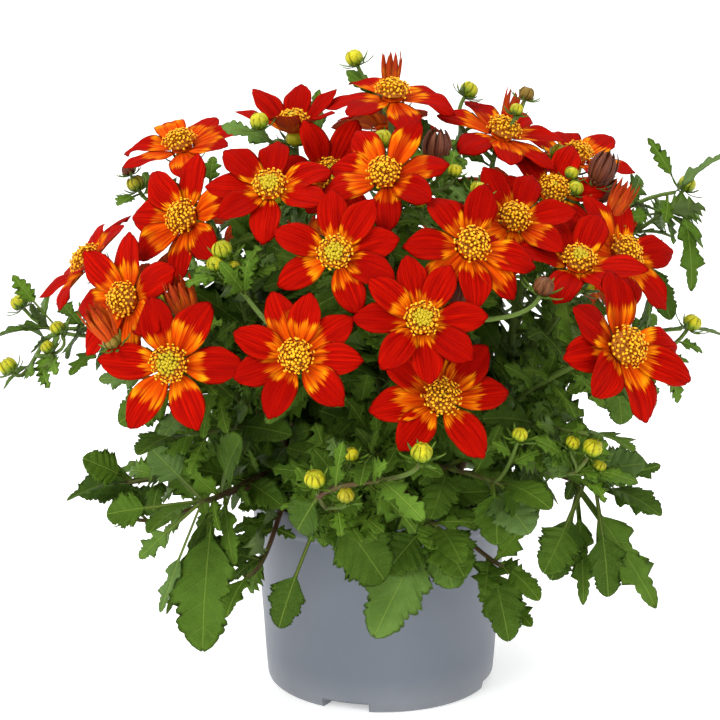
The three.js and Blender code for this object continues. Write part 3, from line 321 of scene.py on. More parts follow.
def facing(yaw, tilt):
    """Unit vector at a yaw and a tilt in degrees."""
    yaw, tilt = math.radians(yaw), math.radians(tilt)
    return np.array((math.sin(yaw) * math.cos(tilt), -math.cos(yaw) * math.cos(tilt), math.sin(tilt)))


def chance(n):
    """A repeatable draw from 0 to 1 for a number, the fraction of a large multiple of its sine."""
    value = math.sin(n * 12.9898 + 4.1) * 43758.5453
    return value - math.floor(value)


def sector_of(point):
    """The sector that a point belongs to, counted round from the viewer's side."""
    turn = math.atan2(point[0], -point[1]) / (2 * math.pi / SECTORS)
    return (math.floor(turn + 0.5) + SECTORS) % SECTORS


def outwards(point, lift):
    """The level way from LIGHT_FROM to a point, raised by `lift` and made unit."""
    level = (point - LIGHT_FROM) * (1, 1, 0)
    return unit(unit(level) + lift * UP)


def ring_axes(heading):
    """The two directions square to each heading that a ring's corners are measured along."""
    x = unit(np.cross(heading, CORNER))
    return x, unit(np.cross(heading, x))


def smooth_curve(knots, at):
    """Cubic through knots of (place, value) whose slope at a knot is the harmonic mean of its two sides."""
    x, y = np.array(knots, dtype=float).T
    slope = np.diff(y) / np.diff(x)
    product, total = slope[:-1] * slope[1:], slope[:-1] + slope[1:]
    inner = np.where(product > 0, 2 * product / np.where(product > 0, total, 1), 0)
    tangent = np.concatenate([slope[:1], inner, slope[-1:]])
    k = np.clip(np.searchsorted(x, at, side="right") - 1, 0, len(x) - 2)
    span = x[k + 1] - x[k]
    u = (at - x[k]) / span
    return (y[k] * (1 + 2 * u) * (1 - u) ** 2 + span * tangent[k] * u * (1 - u) ** 2
            + y[k + 1] * u * u * (3 - 2 * u) + span * tangent[k + 1] * u * u * (u - 1))


# The layout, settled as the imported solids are

class Stem:
    """A stem: its four curve points, the rings of its solid, its sector, and what it carries."""

    def __init__(self, points, places, thick, thin, sides, sector, root=None, carries=None):
        self.points = [np.array(p, dtype=float) for p in points]
        self.places, self.thick, self.thin = np.array(places, dtype=float), thick, thin
        self.sides, self.sector, self.root, self.carries = sides, sector, root, carries
        self.ring_at, self.ring_way = self.along(self.places)

    def along(self, t):
        """Points and unit headings of the cubic curve through its four points, at places t from 0 to 1."""
        t = np.atleast_1d(np.asarray(t, dtype=float))[:, None]
        a, b, c, d = self.points
        u = 1 - t
        at = u ** 3 * a + 3 * u * u * t * b + 3 * u * t * t * c + t ** 3 * d
        way = 3 * u * u * (b - a) + 6 * u * t * (c - b) + 3 * t * t * (d - c)
        return at, unit(way)

    def spot(self, place):
        """The point at a place on the straight runs between the solid's rings, and its heading."""
        after = max(1, int(np.searchsorted(self.places, place)))
        after = min(after, len(self.places) - 1)
        low, high = self.places[after - 1], self.places[after]
        run = self.ring_at[after] - self.ring_at[after - 1]
        return self.ring_at[after - 1] + (place - low) / (high - low) * run, unit(run)

    def rooted(self):
        """Sets the foot on the parent's curve instead of on the parent's straight runs."""
        if self.root is not None:
            parent, place = self.root
            self.points[0] = parent.along(place)[0][0]

    def radius(self, t):
        """The radius at places t: from thick at the foot to thin at the end."""
        return self.thick + (self.thin - self.thick) * np.asarray(t)


class Bloom:
    """A bloom's centre, the way it faces, its right and upward as it is faced, its petals and its look."""

    def __init__(self, row):
        self.name, centre, yaw, tilt, self.lift, self.size, self.angles, self.flame, self.open = row
        self.centre = np.array(centre, dtype=float)
        self.face = facing(yaw, tilt)
        self.upward = facing(yaw + 180, 90 - tilt)
        self.right = np.cross(self.upward, self.face)
        self.node = "petals_" + FUSED.get(self.name, self.name)
        self.petals = []


class Blade:
    """A blade from its foot to its tip on an arc that turns by `bend` degrees about its face."""

    def __init__(self, foot, tip, face, width, bend, kind, share=1.0):
        self.foot, self.tip, self.face = foot, tip, face
        self.width, self.bend, self.kind, self.share = width, bend, kind, share

    def axes(self):
        """The chord's direction, the face made square to it, and the side, along x up."""
        along = unit(self.tip - self.foot)
        up = unit(self.face - np.dot(self.face, along) * along)
        return along, up, np.cross(along, up)

    def settle(self, corners):
        """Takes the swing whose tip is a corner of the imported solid, and says whether there is one."""
        along, up, side = self.axes()
        length = np.linalg.norm(self.tip - self.foot)
        tips = np.array([
            self.foot + length * turn_to(turn_to(along, up, math.radians(lift)), side, math.radians(turn))
            for lift, turn in SWINGS])
        miss = np.linalg.norm(tips[:, None] - corners[None], axis=2).min(axis=1)
        self.tip = tips[miss.argmin()]
        return bool(miss.min() < MATCH)

    def on_arc(self, t, aside, height):
        """foot + ahead(t) x along + above(t) x up + aside x side + height x the arc's own normal at t."""
        along, up, side = self.axes()
        length = np.linalg.norm(self.tip - self.foot)
        half = math.radians(self.bend) / 2
        radius = length / (2 * math.sin(half))
        angle = half * (1 - 2 * t)
        ahead = radius * (math.sin(half) - np.sin(angle))
        above = radius * (np.cos(angle) - math.cos(half))
        lift = np.cos(angle)[..., None] * up - np.sin(angle)[..., None] * along
        return (self.foot + ahead[..., None] * along + above[..., None] * up
                + aside[..., None] * side + height[..., None] * lift)


def packed_corners(node):
    """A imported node's corners in millimetres."""
    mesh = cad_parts[node].data
    flat = np.empty(len(mesh.vertices) * 3)
    mesh.vertices.foreach_get("co", flat)
    return flat.reshape(-1, 3) / MM


def grown_stem(start, out, to, into, places, thick, thin, sides, sector, corners, **more):
    """The stem whose push has its second ring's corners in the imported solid, or None."""
    chord = to - start
    length = np.linalg.norm(chord)
    first = unit(out + LEAVE * unit(chord))
    side = unit(np.cross(chord, UP))
    above = unit(np.cross(side, chord))
    angles = 2 * math.pi * np.arange(sides) / sides
    best, best_count = None, 1
    for across, over in PUSHES:
        aside = PUSH_SHARE * length * (across * side + over * above)
        points = [start, start + STEM_PULL * length * first + aside,
                  to - STEM_PULL * length * into + aside, to]
        stem = Stem(points, places, thick, thin, sides, sector, **more)
        x, y = ring_axes(stem.ring_way[1])
        ring = stem.ring_at[1] + stem.radius(places[1]) * (
            np.cos(angles)[:, None] * x + np.sin(angles)[:, None] * y)
        miss = np.linalg.norm(ring[:, None] - corners[None], axis=2).min(axis=1)
        count = int((miss < MATCH).sum())
        if count > best_count:
            best, best_count = stem, count
    return best


def fork_for(stems, target, below=-math.inf):
    """The spot on some stems that a twig to a target leaves: the nearest, as far below it as given."""
    best = None
    for host in stems:
        for place in FORKS:
            at, heading = host.spot(place)
            cost = np.linalg.norm(at - target) + 2 * max(0, at[2] - target[2] + below)
            if best is None or cost < best[0]:
                best = (cost, host, place, at, heading)
    return best[1:]


def places_for(length):
    """Ring places for a stem of a length."""
    return (0, 0.35, 0.7, 1) if length > 75 else (0, 0.5, 1)


def leaf_blade(foot, direction, face, length, kind, width=None):
    """A leaf of a kind from its foot towards a direction."""
    tip = foot + length * unit(direction)
    return Blade(foot, tip, face, WIDTH_SHARE[kind] * length if width is None else width, 28, kind)


def paired_leaves(stem, pairs, length, kind, seed):
    """Pairs of leaves along the outer half of a shoot, and one at its tip, each with its place."""
    def leaf_at(place, turn, lift, size):
        """A leaf of a size to one side, or ahead where the turn is 0."""
        at, heading = stem.spot(place)
        face = outwards(at, 0.8)
        side = unit(np.cross(heading, face))
        direction = heading * (0.5 if turn else 1) + turn * side + lift * face
        return place, leaf_blade(at, direction, face, size, kind)
    sides = [leaf_at(0.55 + 0.35 * i / pairs, turn, -0.25 + 0.4 * chance(seed + i * 5 + turn),
                     length * (0.8 + 0.4 * chance(seed + i * 3 + 2 * turn)))
             for i in range(pairs) for turn in (-1, 1)]
    return sides + [leaf_at(1, 0, -0.2, length)]


def stem_on_bloom(trunk, bloom, corners):
    """The stalk under a bloom, from its trunk to the calyx."""
    place = min(0.97, max(0.43, 0.45 + (bloom.centre[2] - 150) * 0.0042))
    start, out = trunk.spot(place)
    to = bloom.centre + (HUB["low"] - GAP - CALYX["length"]) * bloom.face
    return grown_stem(start, out, to, bloom.face, places_for(np.linalg.norm(to - start)), STALK_RADIUS * 1.3,
                      STALK_RADIUS, STALK_SIDES, trunk.sector, corners, root=(trunk, place), carries=bloom)


def stem_on_head(stems, middle, kind, corners, tone):
    """The thin stalk under a head that isn't open, from the nearest lower spot of its sector."""
    into = unit(UP + 0.004 * middle * (1, 1, 0))
    to = middle - (TALL if kind == "tall" else HEAD)["height"] / 2 * into
    host, place, start, out = fork_for(stems, to, 14)
    return grown_stem(start, out, to, into, places_for(np.linalg.norm(to - start)), THIN_STALK_RADIUS * 1.2,
                      THIN_STALK_RADIUS, TALL_SIDES if kind == "tall" else STALK_SIDES, host.sector,
                      corners, root=(host, place), carries=(kind, tone))


def packed_petal(bloom, angle, number):
    """A petal as its solid was first tried."""
    out = turn_to(bloom.right, bloom.upward, math.radians(angle))
    stagger = 5 if number % 2 else -4
    rise = math.radians(bloom.lift + stagger + 5 * (chance(bloom.centre[0] + 7 * number) - 0.5))
    foot = bloom.centre + HUB["edge"] * out
    reach = PETAL["reach"] * bloom.size * (0.95 + 0.1 * chance(bloom.centre[1] + 3 * number))
    tip = foot + reach * turn_to(out, bloom.face, rise)
    return Blade(foot, tip, bloom.face, PETAL["width"] * bloom.size, PETAL["bend"], "petal")


class Plant:
    """The blooms with their petals, and each sector's stems and leaves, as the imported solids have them."""

    def __init__(self):
        corners = [packed_corners(f"leafy_stem_{k + 1}") for k in range(SECTORS)]
        self.blooms = [Bloom(row) for row in BLOOMS]
        self.stems = [[self.trunk(k)] for k in range(SECTORS)]
        self.leaves = []
        for bloom in self.blooms:
            sector = sector_of(bloom.centre)
            self.keep(stem_on_bloom(self.stems[sector][0], bloom, corners[sector]))
        for number, (place, kind) in enumerate(HEADS):
            sector = sector_of(place)
            middle = np.array(place, dtype=float)
            self.keep(stem_on_head(self.stems[sector], middle, kind, corners[sector], number))
        tried = self.shoot_leaves(corners) + self.hanging_leaves()
        tried += self.stem_leaves()
        self.leaves = [(stem, place, blade) for stem, place, blade in tried
                       if blade.settle(corners[stem.sector])]
        for bloom in self.blooms:
            solid = packed_corners(bloom.node)
            petals = [packed_petal(bloom, angle, n) for n, angle in enumerate(bloom.angles)]
            bloom.petals = [petal for petal in petals if petal.settle(solid)]
        for stem in (stem for stems in self.stems for stem in stems):
            stem.rooted()
        for stem, place, blade in self.leaves:
            blade.foot = stem.along(place)[0][0]

    @staticmethod
    def trunk(sector):
        """A trunk: up out of the soil, over the rim and up again."""
        out = facing(sector * 360 / SECTORS, 0)
        pairs = (("foot", "depth"), ("knee", 108), ("spread", 116), ("crown", "top"))
        points = [TRUNK[r] * out + TRUNK.get(z, z) * UP for r, z in pairs]
        return Stem(points, np.linspace(0, 1, 6), TRUNK["thick"], TRUNK["thin"], TRUNK_SIDES, sector)

    def keep(self, stem):
        """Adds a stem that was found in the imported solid."""
        if stem is not None:
            self.stems[stem.sector].append(stem)
        return stem

    def shoot_leaves(self, corners):
        """The side shoots, and the leaves that they carry in pairs."""
        leaves = []
        for i, (place, end, pairs, length, kind) in enumerate(SHOOTS):
            to = np.array(end, dtype=float)
            sector = sector_of(end)
            trunk = self.stems[sector][0]
            start, out = trunk.spot(place + STAGGER * i)
            stem = self.keep(grown_stem(
                start, out, to, outwards(to, 0.1), (0, 0.35, 0.7, 1), STALK_RADIUS * 1.2, THIN_STALK_RADIUS,
                SHOOT_SIDES, sector, corners[sector], root=(trunk, place + STAGGER * i)))
            if stem is not None:
                leaves += [(stem, *leaf) for leaf in paired_leaves(stem, pairs, length, kind, i * 11)]
        self.leaves = leaves
        return leaves

    def hanging_leaves(self):
        """The long leaves over the rim, each from the spot nearest to where it springs from."""
        hosts = [stem for stem, _, _ in self.leaves]
        leaves = []
        for end, start, size, width, yaw, tilt, bend, kind in LEAVES:
            tip = np.array(end, dtype=float)
            host, fork, _, _ = fork_for(self.stems[sector_of(end)], np.array(start, dtype=float))
            place = fork - LEAF_STEP * sum(each is host for each in hosts)
            at, _ = host.spot(place)
            length = np.linalg.norm(tip - at)
            blade = leaf_blade(at, tip - at, facing(yaw, tilt), length, kind, width)
            blade.bend, blade.share = bend, size / length
            blade.width *= HANGING_WIDER if kind == "broad" else 1
            leaves.append((host, place, blade))
            hosts.append(host)
        return leaves

    def stem_leaves(self):
        """A small leaf on every fifth stem, and two large ones on each trunk."""
        leaves = []
        for sector, stems in enumerate(self.stems):
            for i in range(2, len(stems), 5):
                at, heading = stems[i].spot(0.52)
                side = unit(np.cross(heading, UP))
                around = turn_to(side, np.cross(side, heading), chance(sector * 17 + i * 3) * 2 * math.pi)
                size = 24 + 10 * chance(sector * 5 + i * 7)
                blade = leaf_blade(at, around + 0.6 * heading, outwards(at, 0.6), size, "small")
                leaves.append((stems[i], 0.52, blade))
            out = facing(sector * 360 / SECTORS, 0)
            for place, turn, kind in ((0.54, -1, "lobed"), (0.69, 1, "broad")):
                at, heading = stems[0].spot(place)
                direction = turn * unit(np.cross(heading, out)) + 0.9 * out - 0.2 * UP
                leaves.append((stems[0], place, leaf_blade(at, direction, outwards(at, 1), 50, kind)))
        return leaves


def nearest_on(stems, target, drop=0.0):
    """The stem, place and point that a twig to a target leaves: the nearest, as far below it as given."""
    places = np.linspace(0.12, 0.96, 22)
    best = None
    for stem in stems:
        at, _ = stem.along(places)
        cost = np.linalg.norm(at - target, axis=1) + 2 * np.maximum(0, at[:, 2] - target[2] + drop)
        k = int(cost.argmin())
        if best is None or cost[k] < best[0]:
            best = (cost[k], stem, places[k], at[k])
    return best[1:]


@functools.cache
def fill_leaves():
    """The filling leaves, each with a stalk from the nearest spot of its sector's stems."""
    leaves = []
    for end, start, size, width, yaw, tilt, bend, kind in FILL_LEAVES:
        tip = np.array(end, dtype=float)
        host, place, at = nearest_on(plant().stems[sector_of(end)], np.array(start, dtype=float))
        reach = np.linalg.norm(tip - at)
        blade = leaf_blade(at, tip - at, facing(yaw, tilt), reach, kind, width)
        blade.bend, blade.share = bend, min(1.0, size / reach)
        leaves.append((host, place, blade))
    return leaves


@functools.cache
def sprigs():
    """The twigs that carry small heads, each with how dark its head is."""
    twigs = []
    for middle, kind, dark in SPRIGS:
        into = unit(UP + 0.004 * np.array(middle) * (1, 1, 0))
        to = np.array(middle) - (TALL if kind == "tall" else HEAD)["height"] / 2 * into
        host, place, at = nearest_on(plant().stems[sector_of(middle)], to, 10)
        reach = np.linalg.norm(to - at)
        first = unit(host.along(place)[1][0] + LEAVE * unit(to - at))
        points = [at, at + STEM_PULL * reach * first, to - STEM_PULL * reach * into, to]
        twigs.append((Stem(points, (0, 0.5, 1), 0.95, 0.75, 6, host.sector), kind, dark))
    return twigs


@functools.cache
def plant():
    """The plant's layout, worked out once."""
    return Plant()


# Surfaces

def grid_triangles(index):
    """Two triangles for each cell of a grid of corner numbers; they face columns x rows."""
    a, b, c, d = index[:-1, :-1], index[:-1, 1:], index[1:, 1:], index[1:, :-1]
    return np.concatenate([np.stack([a, b, c], -1).reshape(-1, 3), np.stack([a, c, d], -1).reshape(-1, 3)])


def closed_sheet(top, under, place, **values):
    """Two grids of points that share their rim, so the sheet between them is closed. `place` and each
    value are grids too, and `under` rises from 0 on the first grid to 1 on the second."""
    rows, columns = top.shape[:2]
    upper = np.arange(rows * columns).reshape(rows, columns)
    lower = upper.copy()
    lower[1:-1, 1:-1] = rows * columns + np.arange((rows - 2) * (columns - 2)).reshape(rows - 2, -1)

    def both(grid):
        """A grid's values for the first sheet, then for the inside of the second."""
        grid = np.broadcast_to(grid, (rows, columns) + grid.shape[2:])
        inner = grid[1:-1, 1:-1]
        return np.concatenate([grid.reshape((-1,) + grid.shape[2:]), inner.reshape((-1,) + grid.shape[2:])])
    points = np.concatenate([top.reshape(-1, 3), under[1:-1, 1:-1].reshape(-1, 3)])
    triangles = np.concatenate([grid_triangles(upper), grid_triangles(lower)[:, ::-1]])
    values = {key: both(np.asarray(value, dtype=float)) if np.ndim(value) else value
              for key, value in values.items()}
    values["under"] = np.concatenate([np.zeros(rows * columns), np.ones((rows - 2) * (columns - 2))])
    return points, triangles, both(place), values


def closed_tube(rings, along):
    """Rings of points, each joined to the next, with a point in the middle of both ends. Its place is
    (share of the way round, along)."""
    count, sides = rings.shape[:2]
    index = np.arange(count * sides).reshape(count, sides)
    around = np.concatenate([index, index[:, :1]], axis=1)
    low, high = count * sides, count * sides + 1
    first = np.stack([np.full(sides, low), around[0, 1:], around[0, :-1]], -1)
    last = np.stack([np.full(sides, high), around[-1, :-1], around[-1, 1:]], -1)
    points = np.concatenate([rings.reshape(-1, 3), rings[0].mean(axis=0)[None], rings[-1].mean(axis=0)[None]])
    share = np.broadcast_to(np.arange(sides) / sides, (count, sides))
    place = np.stack([share, np.broadcast_to(along[:, None], (count, sides))], -1).reshape(-1, 2)
    place = np.concatenate([place, [[0.5, along[0]], [0.5, along[-1]]]])
    return points, np.concatenate([grid_triangles(around), first, last]), place


def stem_rings(stem, count, sides):
    """Rings square to the stem's curve, whose radius goes from thick to thin and swells at its foot."""
    t = np.linspace(0, 1, count)
    at, heading = stem.along(t)
    x, y = ring_axes(heading)
    angle = 2 * math.pi * np.arange(sides) / sides
    radius = stem.radius(t) * (1 + 0.35 * np.exp(-t / 0.04))
    ring = np.cos(angle)[None, :, None] * x[:, None] + np.sin(angle)[None, :, None] * y[:, None]
    return at[:, None] + radius[:, None, None] * ring, t


def turned(start, heading, heights, radii, sides, wave=0.0, waves=8):
    """Rings about a heading: at each height the radius is radii x (1 + wave x cos(waves x angle))."""
    heights, radii = np.asarray(heights, dtype=float), np.asarray(radii, dtype=float)
    x, y = ring_axes(heading)
    angle = 2 * math.pi * np.arange(sides) / sides
    reach = radii[:, None] * (1 + np.reshape(wave, (-1, 1)) * np.cos(waves * angle))
    ring = np.cos(angle)[:, None] * x + np.sin(angle)[:, None] * y
    return start + heights[:, None, None] * heading + reach[..., None] * ring


def leaf_sheet(blade, teeth, columns, seed, thickness, coarse=False):
    """A toothed leaf. Row s and column v (-1 to 1) lie at place s - shear x width(s) x (1 - |v|) on the
    blade's arc and v x width(s) x (tooth) aside; a tooth widens slowly and drops sharply, so it points
    forwards. Height = fold x |aside| + quilting between the side veins + waves that grow to the rim."""
    kind = blade.kind
    start, cut_start = BLADE_START[kind], CUT_START[kind]
    rows = COARSE_ROWS if coarse else TOOTH_ROWS
    tooth_place = np.array([n + place for n in range(teeth) for place, _ in rows] + [teeth])
    tooth_depth = np.array([depth for _ in range(teeth) for _, depth in rows] + [0])
    uneven = np.random.default_rng(seed + 9).uniform(0.6, 1.3, (teeth + 1, 2))
    stalk = np.linspace(-1, 0, 3 if coarse else 5)[:-1]
    phase = np.concatenate([stalk, tooth_place])
    depth = np.concatenate([np.ones(len(stalk)), tooth_depth])
    s = np.where(phase < 0, (1 + phase) * start, start + phase / teeth * (1 - start))
    share = smooth_curve(OUTLINES[kind], s)
    fade = np.clip((1 - s) * 6, 0.25, 1) * (s > start)
    v = np.linspace(-1, 1, columns + 1)
    rim = np.abs(v) ** 1.5
    uneven = uneven[np.clip(phase, 0, teeth).astype(int)][:, (v > 0).astype(int)]
    bite = (TOOTH_DEPTH[kind] * fade * (1 - depth))[:, None] * rim * uneven
    bay = BAY_DEPTH[kind] * fade * np.sin(math.pi * (phase - 0.4) / 3.3) ** 2 * (s > start)
    half = blade.width * share
    aside = v * half[:, None] * (1 - bite - bay[:, None] * rim)
    t = s[:, None] - VEIN_SHEAR * (share * (s > start))[:, None] * (1 - np.abs(v))
    t = np.maximum(t, s[:, None] * 0.6)
    squeeze = min(1.0, blade.share / (1 - cut_start))
    t = np.where(t < cut_start * squeeze, t, 1 - (1 - t) * squeeze) if blade.share < 1 else t
    draws = np.random.default_rng(seed).uniform(-1, 1, 6)
    fold = 0.18 + 0.1 * draws[0]
    quilt = 0.022 * blade.width * (s > start)[:, None] * np.sin(math.pi * np.abs(v))
    quilt = quilt * np.cos(2 * math.pi / TEETH_A_VEIN * (phase[:, None] - 0.6))
    wave = 0.09 * blade.width * rim * share[:, None] * np.sin(
        2 * math.pi * ((1.3 + 0.5 * draws[1]) * s[:, None] + 0.5 * draws[2] + 0.25 * v))
    twist = 0.22 * draws[3] * s[:, None]
    droop = -0.05 * blade.width * (1 + draws[4]) * np.clip(s[:, None] - 0.6, 0, 1) ** 2 * 6
    height = fold * np.abs(aside) + quilt + wave + twist * aside + droop
    thick = thickness / 2 * (1 - v ** 2) * np.clip(half[:, None] / 2, 0.5, 1) + np.where(v == 0, 0.12, 0)
    ridge = 0.45 * (1 - 0.7 * s[:, None]) * (v == 0)
    top = blade.on_arc(t, aside, height + thick)
    under = blade.on_arc(t, aside, height - thick - ridge)
    place = np.stack(np.broadcast_arrays(v[None] / 2 + 0.5, phase[:, None]), -1)
    return closed_sheet(top, under, place, aside=aside)


def petal_sheet(blade, rows, columns, seed, thickness):
    """A petal. Row s and column v lie at place s x (1 - end(v)) on the blade's arc and v x width aside,
    where end(v) rounds the tip and cuts two small notches into it. Height = cup x aside^2 and two
    grooves along the petal, with waves at the rim and a tip that rolls back."""
    draws = np.random.default_rng(seed).uniform(-1, 1, 6)
    s = np.linspace(0, 1, rows + 1)[:, None]
    v = np.linspace(-1, 1, columns + 1)[None]
    power = 1.75 + 0.45 * draws[0]
    end = 0.2 * np.abs(v) ** power + 0.022 * np.exp(-((np.abs(v) - 0.36) / 0.12) ** 2)
    share = smooth_curve(OUTLINES["petal"], 0.8 * s[:, 0])[:, None]
    aside = v * share * blade.width * (1 + 0.04 * draws[5])
    t = s * (1 - end)
    middle = np.sin(math.pi * np.clip(s, 0, 1)) ** 0.5
    cup = (0.1 + 0.2 * draws[1]) * aside ** 2 / blade.width
    groove = -0.55 * middle * np.exp(-((np.abs(v) - 0.34) / 0.13) ** 2)
    wave = 0.75 * np.abs(v) ** 3 * s * np.sin(2 * math.pi * (1.4 * s + draws[2] + 0.3 * v))
    roll = -3.4 * (1 + draws[3]) / 2 * np.clip(s - 0.6, 0, 1) ** 2 / 0.16
    twist = 0.12 * draws[4] * s * aside
    height = cup + groove + wave + roll + twist
    thick = thickness / 2 * (1 - v ** 2) * (0.4 + 0.6 * np.sin(math.pi * np.clip(s, 0.02, 0.98)))
    top = blade.on_arc(t, aside, height + thick)
    under = blade.on_arc(t, aside, height - thick)
    place = np.stack(np.broadcast_arrays(v / 2 + 0.5, s), -1)
    return closed_sheet(top, under, place, aside=np.broadcast_to(aside, height.shape))


def strap_sheet(blade, rows, curl, thickness):
    """A narrow bract, four columns wide, broadest below its middle and pointed. Height = curl x aside^2."""
    s = np.linspace(0, 1, rows + 1)[:, None]
    v = np.linspace(-1, 1, 5)[None]
    share = np.maximum(np.minimum(1, 0.35 + 2.2 * s) * np.clip(1 - s ** 2.2, 0, 1) ** 0.7, 0.06)
    aside = v * share * blade.width
    height = curl * aside ** 2
    thick = thickness / 2 * (1 - v ** 2)
    top = blade.on_arc(s + 0 * v, aside, height + thick)
    under = blade.on_arc(s + 0 * v, aside, height - thick)
    place = np.stack(np.broadcast_arrays(v / 2 + 0.5, s), -1)
    return closed_sheet(top, under, place, aside=aside)


class Skin:
    """Surfaces gathered for one piece, with their finish, their place for patterns and their values."""

    VALUES = ("tint", "lean", "under", "aside")

    def __init__(self):
        self.points, self.triangles, self.finish, self.place = [], [], [], []
        self.values = {key: [] for key in self.VALUES}
        self.count = 0

    def add(self, points, triangles, place, values=None, finish=0, tint=0.5, lean=0.5):
        """Adds a surface; a value that isn't given is 0."""
        given = {**(values or {}), "tint": tint, "lean": lean}
        self.points.append(points)
        self.triangles.append(triangles + self.count)
        self.finish.append(np.full(len(triangles), finish))
        self.place.append(place)
        for key in self.VALUES:
            self.values[key].append(np.broadcast_to(given.get(key, 0.0), (len(points),)))
        self.count += len(points)

    def make(self, name, finishes, slot, *nodes):
        """One mesh of everything gathered, in metres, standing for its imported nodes."""
        points, triangles = np.concatenate(self.points) * MM, np.concatenate(self.triangles)
        mesh = bpy.data.meshes.new(name)
        mesh.from_pydata(points, [], triangles)
        layer = mesh.uv_layers.new(name="place")
        places = np.concatenate(self.place)[triangles.ravel()]
        layer.uv.foreach_set("vector", places.ravel().astype(np.float32))
        for key, lists in self.values.items():
            attribute = mesh.attributes.new(key, "FLOAT", "POINT")
            attribute.data.foreach_set("value", np.concatenate(lists).astype(np.float32))
        for finish in finishes:
            mesh.materials.append(finish)
        mesh.polygons.foreach_set("material_index", np.concatenate(self.finish).astype(np.int32))
        mesh.polygons.foreach_set("use_smooth", np.ones(len(triangles), dtype=bool))
        mesh.update()
        piece = bpy.data.objects.new(name, mesh)
        bpy.context.scene.collection.objects.link(piece)
        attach(piece, "root")
        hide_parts(*nodes)


# Finishes

class Tree:
    """Short calls for the nodes of one material or group."""

    def __init__(self, tree):
        self.tree = tree

    def put(self, kind, inputs=None, **settings):
        """A node with its settings, and its inputs linked to sockets or given values."""
        node = self.tree.nodes.new(kind)
        for key, value in settings.items():
            setattr(node, key, value)
        for key, value in (inputs or {}).items():
            if isinstance(value, bpy.types.NodeSocket):
                self.tree.links.new(value, node.inputs[key])
            else:
                node.inputs[key].default_value = value
        return node

    def math(self, operation, a, b=0.0, c=0.0):
        """A Math node's result."""
        return self.put("ShaderNodeMath", {0: a, 1: b, 2: c}, operation=operation).outputs[0]

    def step(self, value, low, high, start=0.0, end=1.0):
        """A smooth step from `start` at low to `end` at high."""
        return self.put("ShaderNodeMapRange", {0: value, 1: low, 2: high, 3: start, 4: end},
                        interpolation_type="SMOOTHSTEP").outputs[0]

    def mix(self, share, a, b):
        """A colour between a and b."""
        return self.put("ShaderNodeMix", {0: share, 6: a, 7: b}, data_type="RGBA").outputs[2]

    def value(self, name):
        """A value stored on the mesh."""
        return self.put("ShaderNodeAttribute", attribute_name=name).outputs["Fac"]

    def place(self):
        """The across and along coordinates of the surface."""
        vector = self.put("ShaderNodeUVMap", uv_map="place").outputs[0]
        parts = self.put("ShaderNodeSeparateXYZ", {0: vector})
        return parts.outputs[0], parts.outputs[1]

    def vector(self, x, y, z=0.0):
        """A vector from three values."""
        return self.put("ShaderNodeCombineXYZ", {0: x, 1: y, 2: z}).outputs[0]

    def noise(self, vector, scale, detail=2.0, rough=0.5):
        """Noise from 0 to 1 at a vector."""
        return self.put("ShaderNodeTexNoise", {"Vector": vector, "Scale": scale, "Detail": detail,
                                               "Roughness": rough}).outputs[0]

    def group(self, group, **inputs):
        """A node group's outputs."""
        node = self.put("ShaderNodeGroup", node_tree=group)
        for key, value in inputs.items():
            node.inputs[key].default_value = value
        return node.outputs


@functools.cache
def mottle_group():
    """Soft blotches on the object's own coordinates: a value from 0 to 1, and a fine grain as height."""
    group = bpy.data.node_groups.new("mottle", "ShaderNodeTree")
    for name, default in (("Scale", 60.0), ("Contrast", 1.0), ("Grain", 900.0)):
        socket = group.interface.new_socket(name, in_out="INPUT", socket_type="NodeSocketFloat")
        socket.default_value = default
    for name in ("Blotch", "Height"):
        group.interface.new_socket(name, in_out="OUTPUT", socket_type="NodeSocketFloat")
    tree = Tree(group)
    given = tree.put("NodeGroupInput").outputs
    where = tree.put("ShaderNodeTexCoord").outputs["Object"]
    blotch = tree.noise(where, given["Scale"], 3.0, 0.6)
    blotch = tree.math("MULTIPLY_ADD", tree.math("SUBTRACT", blotch, 0.5), given["Contrast"], 0.5)
    grain = tree.noise(where, given["Grain"], 2.0, 0.6)
    tree.put("NodeGroupOutput", {"Blotch": blotch, "Height": grain})
    return group


@functools.cache
def streak_group():
    """Fine lines that run along a petal or bract: a value from 0 to 1 from its place and its own draw."""
    group = bpy.data.node_groups.new("streaks", "ShaderNodeTree")
    for name, default in (("Fineness", 22.0), ("Length", 1.4)):
        socket = group.interface.new_socket(name, in_out="INPUT", socket_type="NodeSocketFloat")
        socket.default_value = default
    group.interface.new_socket("Streak", in_out="OUTPUT", socket_type="NodeSocketFloat")
    tree = Tree(group)
    given = tree.put("NodeGroupInput").outputs
    across, along = tree.place()
    vector = tree.vector(tree.math("MULTIPLY", across, given["Fineness"]),
                         tree.math("MULTIPLY", along, given["Length"]),
                         tree.math("MULTIPLY", tree.value("tint"), 40.0))
    tree.put("NodeGroupOutput", {"Streak": tree.noise(vector, 1.0, 2.0, 0.6)})
    return group


def finish(name, build, **fixed):
    """A material whose Principled shader has fixed socket values, and links from what `build` returns."""
    if name in bpy.data.materials:
        return bpy.data.materials[name]
    material = bpy.data.materials.new(name)
    material.use_nodes = True
    tree = Tree(material.node_tree)
    shader = material.node_tree.nodes["Principled BSDF"]
    for key, value in fixed.items():
        shader.inputs[key.replace("_", " ")].default_value = value
    for key, socket in build(tree).items():
        material.node_tree.links.new(socket, shader.inputs[key])
    return material


def bump(tree, height, distance, strength=1.0):
    """A normal from a height, where `distance` metres is the rise from 0 to 1."""
    inputs = {"Height": height, "Distance": distance, "Strength": strength}
    return tree.put("ShaderNodeBump", inputs).outputs[0]


